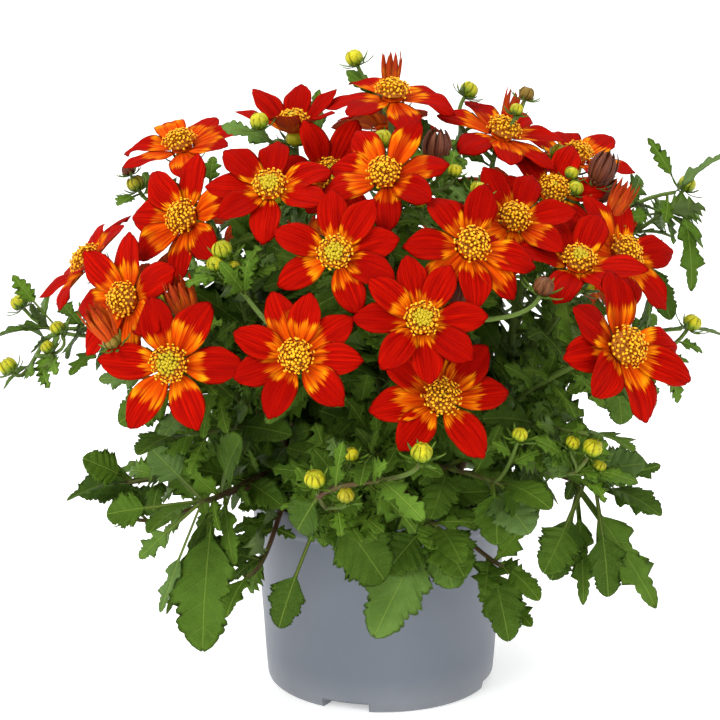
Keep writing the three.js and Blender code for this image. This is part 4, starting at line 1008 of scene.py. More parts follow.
def petal_finish(colours):
    """Velvety red with fine lines, painted shade in its grooves and a painted sheen along its rims, and an
    orange flame from the foot that ends in a brighter, ragged rim.
    """
    def build(tree):
        """Joins the nodes and gives the shader's inputs."""
        across, along = tree.place()
        tint, lean, under = tree.value("tint"), tree.value("lean"), tree.value("under")
        edge = tree.math("ABSOLUTE", tree.math("MULTIPLY_ADD", across, 2.0, -1.0))
        streak = tree.group(streak_group(), Fineness=30.0, Length=1.3)[0]
        broad = tree.group(streak_group(), Fineness=4.0, Length=0.5)[0]
        wedge = tree.group(streak_group(), Fineness=8.0, Length=0.6)[0]
        reach = tree.math("MULTIPLY_ADD", tree.math("SUBTRACT", broad, 0.5), 0.5, lean)
        reach = tree.math("MULTIPLY_ADD", tree.math("SUBTRACT", streak, 0.5), 0.3, reach)
        reach = tree.math("MULTIPLY_ADD", tree.math("POWER", edge, 2.0), 0.12, reach)
        past = tree.math("SUBTRACT", along, reach)
        flame = tree.step(past, -0.07, 0.05, 1.0, 0.0)
        flame = tree.math("MULTIPLY", flame, tree.step(wedge, 0.38, 0.58, 0.3, 1.0))
        flame = tree.math("MULTIPLY", flame, tree.step(streak, 0.34, 0.56, 0.5, 1.0))
        middle = tree.math("MULTIPLY", tree.step(edge, 0.12, 0.5, 1.0, 0.0),
                           tree.step(tint, 0.45, 0.8, 0.0, 0.75))
        flame = tree.math("MULTIPLY", flame, tree.math("SUBTRACT", 1.0, middle))
        glow = tree.math("MULTIPLY", tree.step(past, -0.26, -0.02), tree.step(edge, 0.0, 0.8, 0.4, 1.0))
        glow = tree.math("MULTIPLY", glow, tree.step(broad, 0.35, 0.65, 0.5, 1.0))
        fire = tree.mix(glow, colours.petal_ember, colours.petal_flame)
        red = tree.mix(tree.step(streak, 0.3, 0.75), colours.petal_dark_red_and_groove_shade, colours.petal_red)
        # Painted sheen: a brighter red laid along the petals' rims, where the velvet catches the light.
        red = tree.mix(tree.math("MULTIPLY", tree.step(edge, 0.7, 1.0), 0.6), red, colours.petal_rim_painted_sheen)
        # Painted shade: the groove mask lays the dark red along the petals' two grooves, where shade falls;
        # `shade` below is each petal's own darker tone.
        groove = tree.step(tree.math("ABSOLUTE", tree.math("SUBTRACT", edge, 0.34)), 0.0, 0.1, 0.4, 0.0)
        shade = tree.math("MULTIPLY", tree.step(tint, 0.35, 1.0), tree.step(broad, 0.3, 0.7, 0.35, 0.75))
        red = tree.mix(tree.math("MAXIMUM", shade, groove), red, colours.petal_dark_red_and_groove_shade)
        colour = tree.mix(flame, red, fire)
        back = tree.mix(tree.step(streak, 0.35, 0.7), colours.petal_back, colours.petal_ember)
        colour = tree.mix(tree.math("MULTIPLY", under, 0.6), colour, back)
        height = tree.math("MULTIPLY_ADD", streak, 0.7, tree.math("MULTIPLY", broad, 0.3))
        return {"Base Color": colour, "Normal": bump(tree, height, 0.0004),
                "Roughness": tree.step(streak, 0.3, 0.7, 0.6, 0.78)}
    return finish("velvet_petal", build, Specular_IOR_Level=0.02)


def leaf_finish(colours):
    """Green that varies from leaf to leaf, with a pale midrib, fine side veins, a greyer underside and a grey
    sheen painted on some leaves.
    """
    def build(tree):
        """Joins the nodes and gives the shader's inputs."""
        across, phase = tree.place()
        tint, lean, under, aside = (tree.value(key) for key in ("tint", "lean", "under", "aside"))
        edge = tree.math("ABSOLUTE", tree.math("MULTIPLY_ADD", across, 2.0, -1.0))
        cloud = tree.group(mottle_group(), Scale=55.0, Contrast=1.8, Grain=1500.0)
        green = tree.mix(tint, colours.leaf_dark, colours.leaf_green)
        green = tree.mix(lean, green, colours.leaf_young)
        # Painted sheen: a grey-green laid on some leaves where they would catch a lit sheen.
        green = tree.mix(tree.step(tint, 0.72, 1.0, 0.0, 0.5), green, colours.leaf_painted_grey_sheen)
        green = tree.mix(tree.step(cloud["Blotch"], 0.3, 0.8, 0.0, 0.45), green, colours.leaf_dark)
        stalk = tree.step(phase, -0.5, 0.15, 1.0, 0.0)
        rib = tree.step(tree.math("ABSOLUTE", aside), 0.12, 0.45, 1.0, 0.0)
        beat = tree.math("FRACT", tree.math("MULTIPLY_ADD", phase, 1 / TEETH_A_VEIN, 0.7))
        beat = tree.math("ABSOLUTE", tree.math("SUBTRACT", beat, 0.5))
        vein = tree.step(beat, 0.0, 0.07, 1.0, 0.0)
        vein = tree.math("MULTIPLY", vein, tree.step(edge, 0.55, 1.0, 1.0, 0.15))
        vein = tree.math("MULTIPLY", vein, tree.step(phase, 0.0, 0.4))
        where = tree.put("ShaderNodeTexCoord").outputs["Object"]
        net = tree.put("ShaderNodeTexVoronoi", {"Vector": where, "Scale": 700.0},
                       feature="DISTANCE_TO_EDGE").outputs["Distance"]
        net = tree.step(net, 0.0, 0.14, 1.0, 0.0)
        colour = tree.mix(tree.math("MULTIPLY", net, 0.12), green, colours.leaf_vein)
        colour = tree.mix(tree.math("MULTIPLY", vein, 0.17), colour, colours.leaf_vein)
        colour = tree.mix(tree.math("MULTIPLY", rib, 0.5), colour, colours.leaf_vein)
        colour = tree.mix(tree.math("MULTIPLY", stalk, 0.25), colour, colours.stem_brown)
        grey = tree.mix(tree.math("MULTIPLY", vein, 0.5), colours.leaf_under, colours.leaf_vein)
        colour = tree.mix(tree.math("MULTIPLY", under, 0.8), colour, grey)
        height = tree.math("MULTIPLY_ADD", vein, -0.6, tree.math("MULTIPLY", rib, -0.8))
        height = tree.math("MULTIPLY_ADD", net, -0.25, height)
        height = tree.math("MULTIPLY_ADD", cloud["Height"], 0.2, height)
        return {"Base Color": colour, "Normal": bump(tree, height, 0.0005, 0.8),
                "Roughness": tree.step(cloud["Blotch"], 0.3, 0.7, 0.5, 0.66)}
    return finish("veined_leaf", build, Specular_IOR_Level=0.09)


def stem_finish(colours):
    """Green stems that turn red-brown and woody low down, with fine ridges along them."""
    def build(tree):
        """Joins the nodes and gives the shader's inputs."""
        across, _ = tree.place()
        lean = tree.value("lean")
        cloud = tree.group(mottle_group(), Scale=120.0, Contrast=2.0, Grain=2200.0)
        wood = tree.math("ADD", lean, tree.math("MULTIPLY", tree.math("SUBTRACT", cloud["Blotch"], 0.5), 0.5))
        colour = tree.mix(tree.step(wood, 0.2, 0.85), colours.stem_green, colours.stem_brown)
        ridge = tree.math("SINE", tree.math("MULTIPLY", across, 2 * math.pi * 6))
        height = tree.math("MULTIPLY_ADD", ridge, 0.3, cloud["Height"])
        return {"Base Color": colour, "Normal": bump(tree, height, 0.0003),
                "Roughness": tree.step(cloud["Blotch"], 0.2, 0.8, 0.45, 0.65)}
    return finish("ridged_stem", build, Specular_IOR_Level=0.2)


def bud_finish(colours):
    """Yellow-green scales with brown seams; the dark ones turn maroon with browner streaks."""
    def build(tree):
        """Joins the nodes and gives the shader's inputs."""
        across, along = tree.place()
        tint, lean = tree.value("tint"), tree.value("lean")
        streak = tree.group(streak_group(), Fineness=9.0, Length=0.8)[0]
        edge = tree.math("ABSOLUTE", tree.math("MULTIPLY_ADD", across, 2.0, -1.0))
        seam = tree.math("MULTIPLY", tree.step(edge, 0.45, 1.0), tree.step(along, 0.3, 0.95))
        cloud = tree.group(mottle_group(), Scale=900.0, Contrast=2.2, Grain=2500.0)
        colour = tree.mix(tree.step(along, 0.05, 0.6), colours.leaf_young, colours.bud_yellow)
        colour = tree.mix(tree.math("MULTIPLY", tint, 0.4), colour, colours.leaf_young)
        colour = tree.mix(tree.step(cloud["Blotch"], 0.62, 0.95, 0.0, 0.5), colour, colours.anther_brown)
        colour = tree.mix(tree.math("MULTIPLY", seam, 0.6), colour, colours.anther_brown)
        dark = tree.mix(tree.step(streak, 0.35, 0.7), colours.head_maroon, colours.head_brown)
        colour = tree.mix(tree.step(lean, 0.0, 0.85), colour, dark)
        height = tree.math("MULTIPLY_ADD", streak, 0.8, tree.math("MULTIPLY", cloud["Height"], 0.3))
        return {"Base Color": colour, "Normal": bump(tree, height, 0.0004),
                "Roughness": tree.step(cloud["Blotch"], 0.2, 0.8, 0.35, 0.55)}
    return finish("glossy_bud", build, Specular_IOR_Level=0.2)


def disc_finish(colours):
    """Florets from green-yellow feet to orange tubes, dark anthers and pollen-yellow tips."""
    def build(tree):
        """Joins the nodes and gives the shader's inputs."""
        _, along = tree.place()
        tint, lean = tree.value("tint"), tree.value("lean")
        cloud = tree.group(mottle_group(), Scale=900.0, Contrast=1.5, Grain=3000.0)
        young = tree.mix(tree.step(along, 0.2, 0.95), colours.disc_dark_green, colours.disc_green)
        body = tree.mix(tree.step(along, 0.0, 0.4), colours.disc_foot, colours.disc_orange)
        band = tree.math("MULTIPLY", tree.step(along, 0.56, 0.66), tree.step(along, 0.8, 0.86, 1.0, 0.0))
        band = tree.math("MULTIPLY", band, tree.step(tint, 0.15, 0.5, 0.4, 1.0))
        body = tree.mix(band, body, colours.anther_brown)
        body = tree.mix(tree.step(along, 0.82, 0.88), body, colours.pollen_yellow)
        colour = tree.mix(lean, young, body)
        colour = tree.mix(tree.math("MULTIPLY", cloud["Blotch"], 0.12), colour, colours.disc_foot)
        return {"Base Color": colour, "Normal": bump(tree, cloud["Height"], 0.0002)}
    return finish("crowded_florets", build, Roughness=0.62, Specular_IOR_Level=0.3)


def pot_finish(colours):
    """Blue-grey satin plastic with faint clouding, fine rings from moulding, and dust low down."""
    def build(tree):
        """Joins the nodes and gives the shader's inputs."""
        where = tree.put("ShaderNodeTexCoord").outputs["Object"]
        height_up = tree.put("ShaderNodeSeparateXYZ", {0: where}).outputs[2]
        cloud = tree.group(mottle_group(), Scale=20.0, Contrast=0.8, Grain=2600.0)
        rings = tree.math("SINE", tree.math("MULTIPLY", height_up, 2 * math.pi * 900))
        colour = tree.mix(tree.step(cloud["Blotch"], 0.25, 0.75), colours.pot_dark, colours.pot_light)
        dust = tree.math("MULTIPLY", tree.step(height_up, 0.0, 0.02, 0.35, 0.0), cloud["Blotch"])
        colour = tree.mix(dust, colour, colours.pot_dust)
        height = tree.math("MULTIPLY_ADD", rings, 0.04, tree.math("MULTIPLY", cloud["Height"], 0.5))
        return {"Base Color": colour, "Normal": bump(tree, height, 0.00012),
                "Roughness": tree.step(cloud["Blotch"], 0.2, 0.8, 0.38, 0.5)}
    return finish("satin_pot", build, Specular_IOR_Level=0.5)


def soil_finish(colours):
    """Dark peat, from nearly black to brown by crumb, matt and rough."""
    def build(tree):
        """Joins the nodes and gives the shader's inputs."""
        cloud = tree.group(mottle_group(), Scale=260.0, Contrast=2.4, Grain=1200.0)
        share = tree.math("MULTIPLY", cloud["Blotch"], 0.5)
        share = tree.math("MULTIPLY_ADD", tree.value("tint"), 0.5, share)
        colour = tree.mix(tree.step(share, 0.2, 0.8), colours.soil_dark, colours.soil_brown)
        return {"Base Color": colour, "Normal": bump(tree, cloud["Height"], 0.0012)}
    return finish("crumbly_peat", build, Roughness=0.95, Specular_IOR_Level=0.15)


# Settings

def length(label, description, value):
    """A length property, given in millimetres."""
    return FloatProperty(name=label, description=description, default=value * MM, min=0.0, unit="LENGTH",
                         precision=5)


def colour(label, description, red, green, blue):
    """A colour property."""
    return FloatVectorProperty(name=label, description=description, default=(red, green, blue, 1.0), size=4,
                               subtype="COLOR", min=0.0, max=1.0)


class BidensSizes(bpy.types.PropertyGroup):
    """Sizes and counts of the fine pieces."""

    petal_thickness: length("Petal thickness", "Thickness of a petal at its middle", 0.55)
    leaf_thickness: length("Leaf thickness", "Thickness of a leaf beside its midrib", 0.5)
    floret_length: length("Floret length", "Length of an open floret of a disc", 2.9)
    floret_radius: length("Floret radius", "Radius of an open floret of a disc", 0.62)
    crumb_size: length("Crumb size", "Radius of the largest crumbs of soil", 1.9)
    notch_height: length("Notch height", "Height of the notches under the pot", FOOT_RISE)
    florets: IntProperty(name="Florets", description="Florets in each disc", default=88, min=12, max=160)
    extra_leaves: IntProperty(name="Extra leaves", description="Leaves tried besides the packed ones",
                              default=1200, min=0, max=3000)
    crumbs: IntProperty(name="Crumbs", description="Loose crumbs on the soil", default=420, min=0, max=1000)


class BidensColours(bpy.types.PropertyGroup):
    """Colours of the finishes."""

    petal_red: colour("Petal red", "The petals' own red", 0.43, 0.0045, 0.0002)
    # The dark red of the streaks and of some petals, and also the shade painted along the petals' grooves.
    petal_dark_red_and_groove_shade: colour("Petal dark red", "The red in the petals' grooves", 0.2, 0.0008, 0.0)
    # A sheen painted along the petals' rims.
    petal_rim_painted_sheen: colour("Petal rim", "The cooler red along the petals' rims", 0.45, 0.009, 0.0005)
    petal_flame: colour("Petal flame", "The flame's bright end", 0.92, 0.34, 0.003)
    petal_ember: colour("Petal ember", "The flame's foot", 0.66, 0.08, 0.0008)
    petal_back: colour("Petal back", "The petals' underside", 0.3, 0.05, 0.02)
    disc_orange: colour("Disc orange", "The open florets' tubes", 0.86, 0.33, 0.002)
    disc_green: colour("Disc green", "The tips of florets that are still shut", 0.5, 0.38, 0.006)
    disc_dark_green: colour("Disc dark green", "The feet of florets that are still shut", 0.22, 0.17, 0.003)
    disc_foot: colour("Disc foot", "The shaded feet of the open florets", 0.3, 0.085, 0.003)
    anther_brown: colour("Anther brown", "The dark anthers", 0.07, 0.015, 0.001)
    pollen_yellow: colour("Pollen yellow", "The florets' tips", 0.96, 0.47, 0.004)
    leaf_green: colour("Leaf green", "The lighter leaves", 0.066, 0.135, 0.008)
    leaf_dark: colour("Leaf dark green", "The darker leaves", 0.02, 0.048, 0.002)
    leaf_young: colour("Leaf young green", "The youngest leaves and bracts", 0.108, 0.215, 0.012)
    # A grey-green sheen painted on some leaves.
    leaf_painted_grey_sheen: colour("Leaf grey green", "The downy sheen of some leaves", 0.105, 0.165, 0.07)
    leaf_vein: colour("Leaf vein", "The ribs and veins", 0.17, 0.26, 0.035)
    leaf_under: colour("Leaf underside", "The underside of the leaves", 0.1, 0.145, 0.05)
    stem_green: colour("Stem green", "The younger stems", 0.1, 0.16, 0.025)
    stem_brown: colour("Stem brown", "The older stems", 0.085, 0.042, 0.02)
    bud_yellow: colour("Bud yellow", "The scales of the buds", 0.5, 0.45, 0.006)
    head_maroon: colour("Head maroon", "Scales and petals that are still shut and dark", 0.075, 0.013, 0.006)
    head_brown: colour("Head brown", "Browner streaks of the dark heads", 0.17, 0.05, 0.018)
    pot_light: colour("Pot light", "The pot's lighter clouding", 0.113, 0.128, 0.158)
    pot_dark: colour("Pot dark", "The pot's darker clouding", 0.098, 0.112, 0.139)
    pot_dust: colour("Pot dust", "Dust on the foot of the pot", 0.4, 0.4, 0.38)
    soil_brown: colour("Soil brown", "The lighter crumbs", 0.05, 0.03, 0.018)
    soil_dark: colour("Soil dark", "The darker crumbs", 0.012, 0.008, 0.006)
    floor: colour("Floor", "The studio's floor and backdrop", 0.9, 0.9, 0.9)


# Pieces

def pot_skin(sizes):
    """A profile of (radius, height) turned about Z, whose foot is lifted to the notches' height within
    each notch's width."""
    ridge = POT_HEIGHT - COLLAR_HEIGHT
    outer = [(55.6, 0), (56.7, 0.25), (57.5, 0.9), (58.0, 2), (58.3, 3.6), (58.5, 6), (58.9, 11), (59.2, 15),
             (60.3, 32), (61.9, 52), (63.4, ridge - 4.5),
             (LIP_RADIUS - 1.35, ridge - 1.2), (LIP_RADIUS - 1.2, ridge - 0.5),
             (LIP_RADIUS - 0.5, ridge + 0.3), (LIP_RADIUS - 0.1, ridge + 1), (LIP_RADIUS, ridge + 2),
             (LIP_RADIUS, POT_HEIGHT - 2.6), (LIP_RADIUS - 0.15, POT_HEIGHT - 1.2),
             (LIP_RADIUS - 0.6, POT_HEIGHT - 0.3), (LIP_RADIUS - 1, POT_HEIGHT),
             (LIP_RADIUS - 1.5, POT_HEIGHT - 0.1), (LIP_RADIUS - WALL, POT_HEIGHT - 0.7)]
    inner = [(LIP_RADIUS - 1.3 - WALL, ridge), (58.8 - WALL, 14), (FOOT_RADIUS, FOOT_RISE + WALL),
             (35, FOOT_RISE + WALL), (32, WALL), (0.4, WALL)]
    foot = [(0.4, 0), (34, 0), (36, FOOT_RISE), (FOOT_RADIUS - 6, FOOT_RISE), (FOOT_RADIUS - 6, 0.3),
            (FOOT_RADIUS - 5.6, 0)]
    profile = np.array(foot + outer + inner, dtype=float)
    sides = 168
    angle = 2 * math.pi * np.arange(sides) / sides
    half = math.asin(NOTCH_WIDER * NOTCH_WIDTH / 2 / FOOT_RADIUS)
    middles = np.radians([NOTCH_YAW - 90 + k * 360 / NOTCHES for k in range(NOTCHES)])
    edges = np.concatenate([middles - half, middles + half])
    edges = np.concatenate([edges - 0.002, edges + 0.002]) % (2 * math.pi)
    angle = np.sort(np.concatenate([angle, edges]))
    apart = np.abs((angle[None] - middles[:, None] + math.pi) % (2 * math.pi) - math.pi).min(axis=0)
    lifted = sizes.notch_height / MM * (apart < half)
    radius, height = profile[:, :1], profile[:, 1:]
    at_foot = (radius > FOOT_RADIUS - 6.5) & (height < FOOT_RISE)
    z = np.where(at_foot, np.maximum(height, lifted[None]), height + 0 * lifted[None])
    rings = np.stack([radius * np.cos(angle), radius * np.sin(angle), z], -1)
    run = np.concatenate([[0], np.cumsum(np.linalg.norm(np.diff(profile, axis=0), axis=1))])
    return closed_tube(rings, run / run[-1])


def soil_skin(sizes):
    """The soil's solid turned about Z with a top that rises and falls by three crossed waves and a draw
    for each point, and crumbs strewn over it: cubes rounded and pulled about by a draw."""
    skin = Skin()
    rng = np.random.default_rng(5)
    inner = (LIP_RADIUS - 1.3 - WALL) * math.cos(math.pi / POT_SIDES) - 2 * GAP
    sides = 120
    radii = np.concatenate([[0.5, 40, 51.5, 56, inner - 1], np.linspace(inner - 0.6, 0.5, 34)])
    heights = np.concatenate([[7.1, 7.1, 7.1, 15, SOIL_TOP - 5], np.full(34, float(SOIL_TOP))])
    angle = 2 * math.pi * np.arange(sides) / sides
    x, y = radii[:, None] * np.cos(angle), radii[:, None] * np.sin(angle)
    rough = 0.9 * np.sin(0.21 * x + 1) * np.cos(0.17 * y) + 0.6 * np.sin(0.5 * x - 0.4 * y)
    rough = rough + rng.uniform(-0.5, 0.5, x.shape) * (radii[:, None] > 3)
    z = heights[:, None] + np.where(heights[:, None] > SOIL_TOP - 1, rough - 1.0, 0)
    rings = np.stack([x, y, z], -1)
    points, triangles, place = closed_tube(rings, np.linspace(0, 1, len(radii)))
    skin.add(points, triangles, place, tint=0.35)
    corner = np.array([(a, b, c) for a in (-1, 1) for b in (-1, 1) for c in (-1, 1)], dtype=float) / 1.6
    cap = np.array([(1, 0, 0), (-1, 0, 0), (0, 1, 0), (0, -1, 0), (0, 0, 1), (0, 0, -1)], dtype=float)
    shape = np.concatenate([corner, cap])
    faces = []
    for k, way in enumerate(cap):
        loop = [i for i in range(8) if np.dot(corner[i], way) > 0]
        middle = corner[loop].mean(axis=0)
        x_axis = unit(corner[loop[0]] - middle)
        y_axis = np.cross(way, x_axis)
        spokes = corner - middle
        loop.sort(key=lambda i: math.atan2(np.dot(spokes[i], y_axis), np.dot(spokes[i], x_axis)))
        faces += [(8 + k, loop[j], loop[(j + 1) % 4]) for j in range(4)]
    count = sizes.crumbs
    size = sizes.crumb_size / MM * rng.uniform(0.35, 1, count) ** 1.5
    reach = (inner - 3) * np.sqrt(rng.uniform(0.02, 1, count))
    turn = rng.uniform(0, 2 * math.pi, count)
    where = np.stack([reach * np.cos(turn), reach * np.sin(turn), SOIL_TOP - 0.7 + 0.3 * size], -1)
    pulled = shape[None] * rng.uniform(0.6, 1.25, (count, len(shape), 3)) * size[:, None, None]
    points = (where[:, None] + pulled).reshape(-1, 3)
    triangles = (np.array(faces)[None] + len(shape) * np.arange(count)[:, None, None]).reshape(-1, 3)
    shade = np.repeat(rng.uniform(0, 1, count), len(shape))
    skin.add(points, triangles, np.full((len(points), 2), 0.5), tint=shade)
    return skin


def floret(radius, length, opened):
    """A floret's rings: a narrow foot, a tube, a flared mouth or a shut one, and a rounded tip."""
    if opened:
        profile = ((0, 0.6), (0.55, 0.75), (0.8, 0.5), (0.9, 1.05), (1.0, 0.6))
    else:
        profile = ((0, 0.6), (0.6, 1.0), (1.0, 0.55))
    heights = np.array([h for h, _ in profile])
    radii = np.array([r for _, r in profile]) * radius
    rings = turned(np.zeros(3), UP, heights * length, radii, 5)
    return closed_tube(rings, heights)


def disc_skin(bloom, sizes):
    """A domed disc with florets on a golden-angle spiral: floret i of N stands at radius sqrt(i / N), and
    leans out with the dome's own slope. The outer ones are open, and stand higher than the shut ones."""
    skin = Skin()
    rng = np.random.default_rng(sum(map(ord, bloom.name)))
    bulge = BULGE if bloom.name == BULGED_DISC else 1.0
    base = bloom.centre + (HUB["top"] + GAP) * bloom.face
    long = sizes.floret_length / MM
    spread = DISC["radius"] * bloom.size - 2.1
    crown = (DISC["height"] * bulge - long) * (0.72 + 0.28 * bloom.open)
    t = np.linspace(0, 1, 9)
    heights = np.concatenate([[0, 0.6], 1.2 + crown * np.sin(t * math.pi / 2) * 0.94])
    radii = np.concatenate([[3.2, 4.2], spread * np.cos(t * math.pi / 2) * 0.99 + 0.2])
    points, triangles, place = closed_tube(turned(base, bloom.face, heights, radii, 20), np.full(11, 0.1))
    skin.add(points, triangles, place, lean=1.0)
    count = sizes.florets
    share = np.sqrt((np.arange(count) + 0.5) / count)
    angle = GOLDEN_ANGLE * np.arange(count)
    radial = np.cos(angle)[:, None] * bloom.right + np.sin(angle)[:, None] * bloom.upward
    lean = np.radians(78) * share ** 1.6
    way = np.cos(lean)[:, None] * bloom.face + np.sin(lean)[:, None] * radial
    way = unit(way + rng.normal(0, 0.15, way.shape))
    rise = 1.2 + crown * np.sqrt(1 - share ** 2)
    at = base + rise[:, None] * bloom.face + (spread * share)[:, None] * radial
    opened = share > 1 - bloom.open
    x, y = ring_axes(way)
    for is_open in (True, False):
        chosen = opened == is_open
        number = int(chosen.sum())
        if not number:
            continue
        shape, faces, place = floret(sizes.floret_radius / MM * (1.0 if is_open else 1.4),
                                     long * (1.0 if is_open else 0.66), is_open)
        scale = rng.uniform(0.72, 1.18, number)[:, None, None]
        axes = np.stack([x[chosen], y[chosen], way[chosen] * scale[:, 0]], axis=1)
        points = at[chosen][:, None] + shape[None] @ axes
        triangles = (faces[None] + len(shape) * np.arange(number)[:, None, None]).reshape(-1, 3)
        skin.add(points.reshape(-1, 3), triangles, np.tile(place, (number, 1)),
                 tint=np.repeat(rng.uniform(0, 1, number), len(shape)), lean=1.0 if is_open else 0.0)
    return skin


def petals_skin(blooms, sizes):
    """The petals of the blooms that share a node, on their hubs."""
    skin = Skin()
    for bloom in blooms:
        seed = sum(map(ord, bloom.name)) * 31
        rng = np.random.default_rng(seed)
        for n, petal in enumerate(bloom.petals):
            sheet = petal_sheet(petal, PETAL_ROWS, PETAL_COLUMNS, seed + n, sizes.petal_thickness / MM)
            reach = bloom.flame * rng.uniform(0.4, 1.2)
            skin.add(*sheet, tint=rng.uniform(), lean=reach)
        heights = (HUB["low"], -0.9, -0.2, 0.3, HUB["top"])
        radii = (HUB["tip"], 3.8, HUB["edge"], 4.2, HUB["tip"])
        points, triangles, place = closed_tube(
            turned(bloom.centre, bloom.face, heights, radii, 24), np.full(5, 0.05))
        skin.add(points, triangles, place, tint=0.5, lean=0.5)
    return skin


LEAF, STEM, BUD, PETALS = range(4)


def add_bracts(skin, start, heading, count, reach, rise, width, seed, curl=0.05):
    """A star of narrow bracts from a stem's end, each a blade that rises by `rise` over its reach."""
    x, y = ring_axes(heading)
    draws = np.random.default_rng(seed).uniform(-1, 1, (count, 4))
    for k in range(count):
        angle = 2 * math.pi * (k + 0.2 * draws[k, 0]) / count
        out = turn_to(x, y, angle)
        foot = start + 1.0 * out
        tip = start + reach * (1 + 0.12 * draws[k, 1]) * out + rise * (1 + 0.4 * draws[k, 2]) * heading
        blade = Blade(foot, tip, heading, width, -50, "petal")
        points, triangles, place, values = strap_sheet(blade, 6, curl, 0.5)
        skin.add(points, triangles, place * (1, 0) + (0, 1.35), values, LEAF, 0.5 + 0.5 * draws[k, 3], 0.55)


def add_calyx(skin, stem, bloom, seed):
    """The cup of scales under a bloom, and the bracts round it."""
    end, heading = stem.points[3], bloom.face
    heights = np.array((0, 0.12, 0.3, 0.5, 0.75, 1.0)) * CALYX["length"]
    radii = (STALK_RADIUS, 2.6, 3.7, CALYX["radius"], 4.0, CALYX["rim"])
    points, triangles, place = closed_tube(
        turned(end, heading, heights, radii, 24, 0.04), np.linspace(0.2, 1, 6))
    skin.add(points, triangles, place, finish=BUD, tint=chance(seed), lean=0.1)
    add_bracts(skin, end, heading, 8, CALYX["radius"] + BRACT["reach"], CALYX["length"] * 0.8, 1.2, seed)


def add_scales(skin, end, heading, seed, dark, size):
    """A bud's body with eight overlapping scales that arch from its foot to its top."""
    x, y = ring_axes(heading)
    draws = np.random.default_rng(seed).uniform(0, 1, (9, 4))
    t = np.linspace(0.06, 0.97, 9)
    radii = np.sin(t * math.pi) ** 0.75 * HEAD["radius"] * 0.9 * size
    heights = (1 - np.cos(t * math.pi)) / 2 * HEAD["height"] * 0.95 * size
    points, triangles, place = closed_tube(turned(end, heading, heights, radii, 24, 0.05), t)
    skin.add(points, triangles, place, finish=BUD, tint=draws[8, 0], lean=dark)
    for k in range(8):
        out = turn_to(x, y, 2 * math.pi * (k + 0.25 * draws[k, 0]) / 8)
        foot = end + size * ((0.9 + 0.3 * (k % 2)) * heading + 3.0 * out)
        tip = end + size * ((6.4 + 0.9 * draws[k, 1]) * heading + (1.1 + 0.7 * draws[k, 2]) * out)
        sheet = strap_sheet(Blade(foot, tip, out, 1.9 * size, 116, "petal"), 8, -0.14, 0.5)
        skin.add(*sheet, BUD, draws[k, 3], dark)


def add_head(skin, stem, kind, dark, seed, size=1.0):
    """A round bud of overlapping scales, a tall one whose dark petals are still shut in a barrel, or a
    tall one from which folded petals rise and spread."""
    end, heading = stem.points[3], stem.along(1)[1][0]
    bracts = HEAD["bracts"] * (1.35 * size if kind == "round" else 1.2)
    add_bracts(skin, end, heading, 8, bracts, (BRACT["rise"] + 2.2) * size, 0.95, seed * 7 + 3)
    x, y = ring_axes(heading)
    draws = np.random.default_rng(seed + 1).uniform(0, 1, (9, 4))
    if kind == "round":
        add_scales(skin, end, heading, seed, dark, size)
        return
    add_scales(skin, end, heading, seed, 0.35 + 0.5 * dark, 0.95)
    for k in range(9):
        out = turn_to(x, y, 2 * math.pi * (k + 0.3 * draws[k, 0]) / 9)
        if dark > 0.5:
            foot = end + (2.2 + 0.4 * (k % 2)) * heading + 3.3 * out
            tip = end + (15.4 + 1.4 * draws[k, 1]) * heading + (2.4 + 1.2 * draws[k, 2]) * out
            blade = Blade(foot, tip, out, 2.5, 92, "petal")
        else:
            foot = end + 3.4 * heading + 2.6 * out
            long = TALL["height"] + 3.0 + 2.4 * draws[k, 1] - 1.6 * (k % 2)
            tip = end + long * heading + (2.6 + 3.4 * draws[k, 2]) * out
            blade = Blade(foot, tip, out, 2.2, 34 - 30 * draws[k, 3], "petal")
        points, triangles, place, values = strap_sheet(blade, 10, -0.16, 0.6)
        values["under"] = np.full(len(points), 1.0)
        skin.add(points, triangles, place, values, BUD if dark > 0.5 else PETALS, 0.3 + 0.6 * draws[k, 3],
                 0.5 + 0.5 * dark)


def ahead_and_aside(points, bloom):
    """How far points lie ahead of a bloom's centre along its face, and aside of that line."""
    away = points - bloom.centre
    ahead = away @ bloom.face
    return ahead, np.linalg.norm(away - ahead[:, None] * bloom.face, axis=1)


def clear_of_blooms(points):
    """Whether no point lies just before a bloom's face or in its petals."""
    for bloom in plant().blooms:
        ahead, aside = ahead_and_aside(points, bloom)
        before_face = (ahead > -3) & (ahead < 46) & (aside < 29)
        in_petals = (np.abs(ahead) < 8) & (aside < 31)
        if np.any(before_face | in_petals):
            return False
    return True


def clear_of_petals(points):
    """Whether no point lies on a bloom's petals or close before its disc."""
    for bloom in plant().blooms:
        ahead, aside = ahead_and_aside(points, bloom)
        on_petals = (ahead > -5) & (ahead < 12) & (aside < 27)
        before_disc = (ahead > 0) & (ahead < 40) & (aside < 13)
        if np.any(on_petals | before_disc):
            return False
    return True


def in_reach(points, margin=1.0):
    """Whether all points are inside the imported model's box and outside its pot."""
    low, high = (np.array(corner) / MM for corner in CAD_BOX)
    inside = np.all(points > low + (margin, margin, 4)) and np.all(points < high - margin)
    radius = np.hypot(points[:, 0], points[:, 1])
    return bool(inside and not np.any((points[:, 2] < POT_HEIGHT + 3) & (radius < LIP_RADIUS + 3)))


def blade_rim(blade):
    """Eleven points on a blade's middle line and rim."""
    shares = np.linspace(0.3, 1, 5)
    line = blade.on_arc(shares, 0 * shares, 0 * shares)
    side = blade.axes()[2] * blade.width
    return np.concatenate([line, line[1:-1] + side, line[1:-1] - side])


